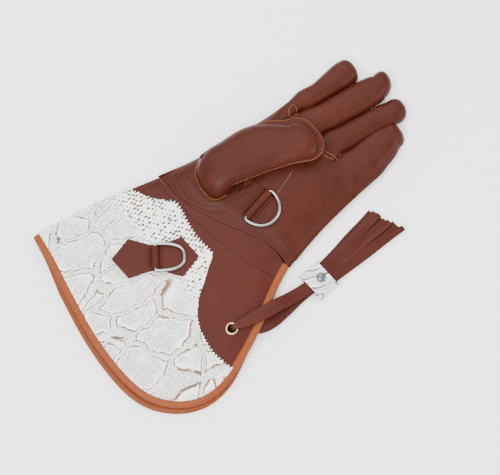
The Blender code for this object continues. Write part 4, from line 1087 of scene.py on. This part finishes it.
COLLAR_HEIGHT, COLLAR_LENGTH, COLLAR_WIDTH = 9 * MM, 21 * MM, 29 * MM
over, under = eyelet_z + 2.25 * MM, eyelet_z - 4.05 * MM
upper, lower = COLLAR_HEIGHT * 0.73, COLLAR_HEIGHT * 0.44
STRAP = (
    (3.1, 89.0, upper, 1.0), (3.6, 78.0, upper + 0.6 * MM, 1.0), (3.6, 62.0, upper + 2.6 * MM, 1.0),
    (3.4, 48.0, over - 0.2 * MM, 1.0), (3.4, 36.0, over + 0.9 * MM, 1.05), (2.6, 24.0, over + 0.9 * MM, 1.0),
    (1.2, 12.0, over + 0.5 * MM, 0.8), (0.4, 5.6, over + 0.4 * MM, 0.55), (0.1, 2.2, over - 0.5 * MM, 0.4),
    (0.0, 0.4, over - 2.4 * MM, 0.38), (0.0, 1.3, under - 0.1 * MM, 0.4), (0.8, 5.0, under - 1.2 * MM, 0.7),
    (5.5, 13.0, under - 1.0 * MM, 1.0), (11.5, 23.0, under - 1.0 * MM, 1.0),
    (13.0, 35.0, under - 1.3 * MM, 1.0), (10.0, 51.0, lower + 1.2 * MM, 1.0),
    (6.0, 68.0, lower + 0.2 * MM, 1.0), (3.1, 89.0, lower, 1.0),
)
STRAP_WIDTH = 12 * MM
t = np.linspace(0, 1, 240)
route = spline([(EYELET[0] + x * MM, EYELET[1] + y * MM, z) for x, y, z, _ in STRAP], t)
widths = STRAP_WIDTH * np.interp(t, np.linspace(0, 1, len(STRAP)), [row[3] for row in STRAP])
strap = many("tassel_strap_leather", [ribbon(route, (1, 0.15, 0), widths, 1.5 * MM)], [CUFF_BROWN])
finish_piece(strap, "brown_leather", "tassel_strap")

# %% [markdown]
# A printed collar holds the strap's two ends and the fringe together, and a domed rivet goes through it.
# The collar is a flat ring of leather with round ends, a little tighter halfway along. Its frame, with Y
# along the tassel, places the rivet and the fringe as well.

# %% Collar and rivet
tassel = Matrix.Rotation(math.radians(10.5), 4, "Z")
tassel.translation = (89.5 * MM, 22 * MM, 0)
turn = np.linspace(0, 2 * math.pi, 80, endpoint=False)
radius = COLLAR_HEIGHT / 2
c, s = np.cos(turn), np.sin(turn)
y = np.linspace(0, COLLAR_LENGTH, 24)[:, None]
tight = 1 - 0.025 * np.sin(math.pi * y / COLLAR_LENGTH)
ring = (np.sign(c) * (COLLAR_WIDTH / 2 - radius) + radius * c, y, radius + radius * s * tight)
collar_grid = np.stack(np.broadcast_arrays(*ring), -1)
collar = grid_object("tassel_band", placed(collar_grid, tassel), [PRINT, RAW_EDGE_AND_CREST_HIGHLIGHT], wrap_columns=True)
thicken(collar, 1.2 * MM, 1)
finish_piece(collar, "snake_print", "tassel_collar")
ground.add(placed(collar_grid[:, :41], tassel))

seat = tassel @ Matrix.Translation((0, COLLAR_LENGTH * 0.64, COLLAR_HEIGHT + FIT))
turn = np.linspace(0, math.pi / 2, 14)
dome = np.column_stack([4.4 * MM * np.cos(turn), 0.9 * MM + 1.9 * MM * np.sin(turn)])
dome = lathe(np.vstack([[(3.6 * MM, 0.0)], dome]), 40, seat)
rivet = grid_object("rivet_dome", dome, [RIVET_STEEL], wrap_columns=True)
finish_piece(rivet, "steel", "tassel_rivet")

# %% [markdown]
# The fringe is one piece of leather cut into strips, rolled up in the collar. Here it is two layers of
# strips that spread and sink to the table, each with its own small length, lean and ripple, and a flat
# head inside the collar that joins them.

# %% Fringe
STRIPS, STRIP_LENGTH, STRIP_WIDTH, FRINGE_SPREAD = 6, 76 * MM, 5.4 * MM, 42 * MM
inner = COLLAR_HEIGHT - 2.4 * MM
head_width = COLLAR_WIDTH - 2.4 * MM - inner / 2 + FIT
low, high = COLLAR_HEIGHT / 2 - 0.3 * inner, COLLAR_HEIGHT / 2 + 0.3 * inner
thick = (high - low) * 0.38
head_end = COLLAR_LENGTH + 1 * MM
facing = tassel.to_3x3().to_4x4()
strips = []
t = np.linspace(0, 1, 50)
spread = (head_width + (FRINGE_SPREAD - head_width) * t) * (1 - 1 / STRIPS)
for layer, height in enumerate((low + 0.27 * (high - low), low + 0.73 * (high - low))):
    for k in range(STRIPS):
        at = (k + 0.5 + (0.22 if layer else -0.22)) / STRIPS - 0.5
        length = STRIP_LENGTH * (1 + 0.15 * at + 0.02 * math.sin(5 * k + 2 * layer))
        drop = height - thick * (0.55 if layer == 0 else 1.75)
        x = at * spread + MM * t * (0.8 * math.sin(3 * k + layer) + 0.3 * np.sin(9 * t + 2 * k))
        z = height - drop * ease(t * 4) + 0.3 * MM * (np.sin(14 * t + k) * ease(t * 3) + layer)
        path = placed(np.column_stack([x, head_end - 2 * MM + length * t, z]), tassel)
        lean = 0.25 * math.sin(2.3 * k + layer)
        side = np.column_stack([np.ones(50), np.zeros(50), lean * ease(t * 2)])
        strips.append(ribbon(path, placed(side, facing), STRIP_WIDTH, thick, 6.0))
y = np.linspace(0.5 * COLLAR_LENGTH, head_end + 0.5 * MM, 8)
head = placed(np.column_stack([0 * y, y, 0 * y + (low + high) / 2]), tassel)
strips.append(ribbon(head, placed([(1, 0, 0)], facing)[0], head_width, high - low, 5.0))
fringe = many("tassel_strips", strips, [CUFF_BROWN])
finish_piece(fringe, "brown_leather", "tassel_fringe")

# %% [markdown]
# The thumb's base is a slope of leather from its seam on the palm up to the thumb. Each of its lines is
# a Hermite curve: h(s) = (2s^3 - 3s^2 + 1) foot + (s^3 - 2s^2 + s) first + (3s^2 - 2s^3) head +
# (s^3 - s^2) ahead. It reaches the thumb in the thumb's own direction, so no crease shows between them.

# %% Thumb base
SLOPE_FOOT = ((-68, 7), *THUMB_SEAM, (-22, 11))
SLOPE_TOP = 12 * MM
hand_ground = Ground()
for grid in HAND_GRIDS[::2]:
    hand_ground.add(grid)
row = int(np.argmin(np.abs(thumb_grid[:, 0, 1] - SLOPE_TOP)))
around = np.arange(-6, 43) % 72
head = thumb_grid[row, around]
ahead = thumb_grid[row + 1, around] - thumb_grid[row - 1, around]
foot = draw(SLOPE_FOOT, 0.1 * MM)
t = np.linspace(0, 1, len(around))
foot = at_run(t, np.linspace(0, 1, len(foot)), foot)
foot = np.column_stack([foot, hand_ground.at(foot[:, 0], foot[:, 1]) - 0.2 * MM])
far = np.linalg.norm(head - foot, axis=1, keepdims=True)
ahead = unit(ahead) * far
first = (head - foot) * 0.35 + [0, 0, 1] * far * 1.1
s = np.linspace(0, 1, 24)[:, None, None]
slope_grid = (2 * s**3 - 3 * s**2 + 1) * foot + (s**3 - 2 * s**2 + s) * first
slope_grid = slope_grid + (3 * s**2 - 2 * s**3) * head + (s**3 - s**2) * ahead
slope = grid_object("thumb_base", slope_grid, [BROWN])
thicken(slope, 1.2 * MM)
finish_piece(slope, "brown_leather")
ground.add(slope_grid)

# %% [markdown]
# Cut leather shows its light inside. That edge is seen along the thumb's seam, its outer side and tip,
# the hem, the little finger's side, the lips between the fingers and the palm loop. It is a thin cord
# laid on the surface. Down the fold of the thumb's free side the same tan cord is a painted highlight
# on the crest.

# %% Raw edges and the painted highlight on the thumb's fold
GUSSETS = (
    ((-65, 99), (-62, 94), (-57, 91.5), (-55, 95), (-54, 101)), ((-65, 99), (-61, 101), (-57, 99), (-56, 93)),
    ((-13, 98), (-9, 102), (-3, 106), (3, 107)), ((-12, 96), (-5, 100), (0, 104)),
)
HEM_EDGE = ((-70, -41.5), (-66, -41), (-60, -40))
SIDE_EDGE = ((2, 38.5), (-2, 47), (-6, 56), (-11, 66))


def laid_across(place, half_width, y, lift, count=30):
    """A straight row across a frame at its y, laid on the ground."""
    x = np.linspace(-half_width, half_width, count)
    row = placed(np.column_stack([x, y + 0 * x, 0 * x]), place)
    return np.column_stack([row[:, :2], ground.at(row[:, 0], row[:, 1]) + lift])


cords = [
    laid(THUMB_SEAM, 0.5 * MM), laid(HEM_EDGE, 0.4 * MM), laid(SIDE_EDGE, 0.25 * MM),
    *[laid(line, 0.3 * MM) for line in GUSSETS],
    finger_grid(3, False)[6:, -1][:150] + [0.4 * MM, 0, 0.6 * MM],
    *[laid_across(palm_frame, 15.2 * MM, y, 0.7 * MM) for y in (-4.3 * MM, 4.3 * MM)],
    # The thumb's outline cord is a raw edge round the outer side and tip, and a painted highlight on the
    # crest of the fold down the free side.
    flange_path - inside * (wide * 0.97)[:, None] + [0, 0, 0.5 * MM],
]
CORD = oval(0.95 * MM, 0.8 * MM, 10)
edges = many("cut_edges_and_crest_highlight", [sweep(line, CORD, scale=rounded_ends(len(line), 3)) for line in cords], [RAW_EDGE_AND_CREST_HIGHLIGHT])
finish_piece(edges, "brown_leather")

# %% [markdown]
# Every row of stitches is a line of small rounded bars with a gap between them. Real thread is too thin
# for a texture to hold its shadow, so each stitch is its own little bar with a few dozen faces.

# %% Stitches
rows = [laid(line, 0.02 * MM) for line in (HEM_STITCH, BASE_STITCH, BASE_STITCH_2)]
rows += [laid_across(palm_frame, 14.5 * MM, y, 0.05 * MM) for y in (-7.6 * MM, -10.2 * MM)]
rows += [laid_across(cuff_frame, 9 * MM, y, 0.1 * MM, 20) for y in (-6.6 * MM, 6.6 * MM)]
finish_piece(new_mesh("stitches", *stitches(rows), [THREAD]), "brown_leather")

pinked = cut_line(0.0, 3.4 * MM)
pinked = pinked[(pinked[:, 0] > -0.073) & (pinked[:, 0] < 0.108)][::6]
pinked = np.column_stack([pinked, ground.at(pinked[:, 0], pinked[:, 1])])
hem_line = cuff_point(np.linspace(1.5, 22, 300), np.full(300, 0.945))[0] + [0, 0, 0.9 * MM]
fine_rows = stitches([pinked, hem_line], 2.4 * MM, 0.5 * MM, 0.45 * MM)
finish_piece(new_mesh("print_stitches", *fine_rows, [GREY_THREAD]), "snake_print")

# %% [markdown]
# A pale floor, soft studio light and the camera at the photograph's angle.

# %% Floor, light and camera
def look_from(azimuth, elevation, distance, target):
    """Place at a distance from the target: azimuth turns about Z, elevation rises from the table."""
    a, e = math.radians(azimuth), math.radians(elevation)
    return target + distance * Vector((math.sin(a) * math.cos(e), -math.cos(a) * math.cos(e), math.sin(e)))


def area_light(name, azimuth, elevation, distance, size, energy):
    """A round soft light that looks at the origin, with its energy in watts."""
    data = bpy.data.lights.new(name, "AREA")
    data.shape, data.size, data.energy = "DISK", size, energy
    light = bpy.data.objects.new(name, data)
    light.location = look_from(azimuth, elevation, distance, Vector((0, 0, 0)))
    light.rotation_euler = light.location.to_track_quat("Z", "Y").to_euler()
    bpy.context.scene.collection.objects.link(light)


floor_material, floor_shader, floor_place = new_material("floor", 0.9)
tone = noise(floor_place, 3.0, 1.0)
feed(floor_shader, Base_Color=tone.mix((0.93, 0.93, 0.93, 1), (0.95, 0.95, 0.95, 1)))
FLOOR_HALF, FLOOR_Z = 3.0, -0.2 * MM
corners = [(x * FLOOR_HALF, y * FLOOR_HALF, FLOOR_Z) for x, y in ((-1, -1), (1, -1), (1, 1), (-1, 1))]
floor = new_mesh("floor", corners, [(0, 1, 2, 3)], [floor_material], False)

area_light("key", 20, 62, 1.3, 1.0, 26)
area_light("fill", 250, 55, 1.4, 1.3, 15)
area_light("rim", 140, 35, 1.4, 0.6, 9)
world = bpy.data.worlds.new("studio")
world.use_nodes = True
world.node_tree.nodes["Background"].inputs["Color"].default_value = (1, 1, 1, 1)
world.node_tree.nodes["Background"].inputs["Strength"].default_value = 1.75
bpy.context.scene.world = world

TARGET = Vector((0.01916, 0.00114, 0.0))
AZIMUTH, ELEVATION, DISTANCE = 58.2, 76, 1.5
PICTURE_WIDTH, PIXEL = 500, 0.92 * MM
camera_data = bpy.data.cameras.new("camera")
camera_data.sensor_width = 36
camera_data.lens = camera_data.sensor_width * DISTANCE / (PICTURE_WIDTH * PIXEL)
camera_data.clip_end = 20
camera = bpy.data.objects.new("camera", camera_data)
camera.location = look_from(AZIMUTH, ELEVATION, DISTANCE, TARGET)
camera.rotation_euler = (camera.location - TARGET).to_track_quat("Z", "Y").to_euler()
bpy.context.scene.collection.objects.link(camera)
bpy.context.scene.camera = camera
print("camera at", [round(value, 3) for value in camera.location], "lens", round(camera_data.lens, 1), "mm")
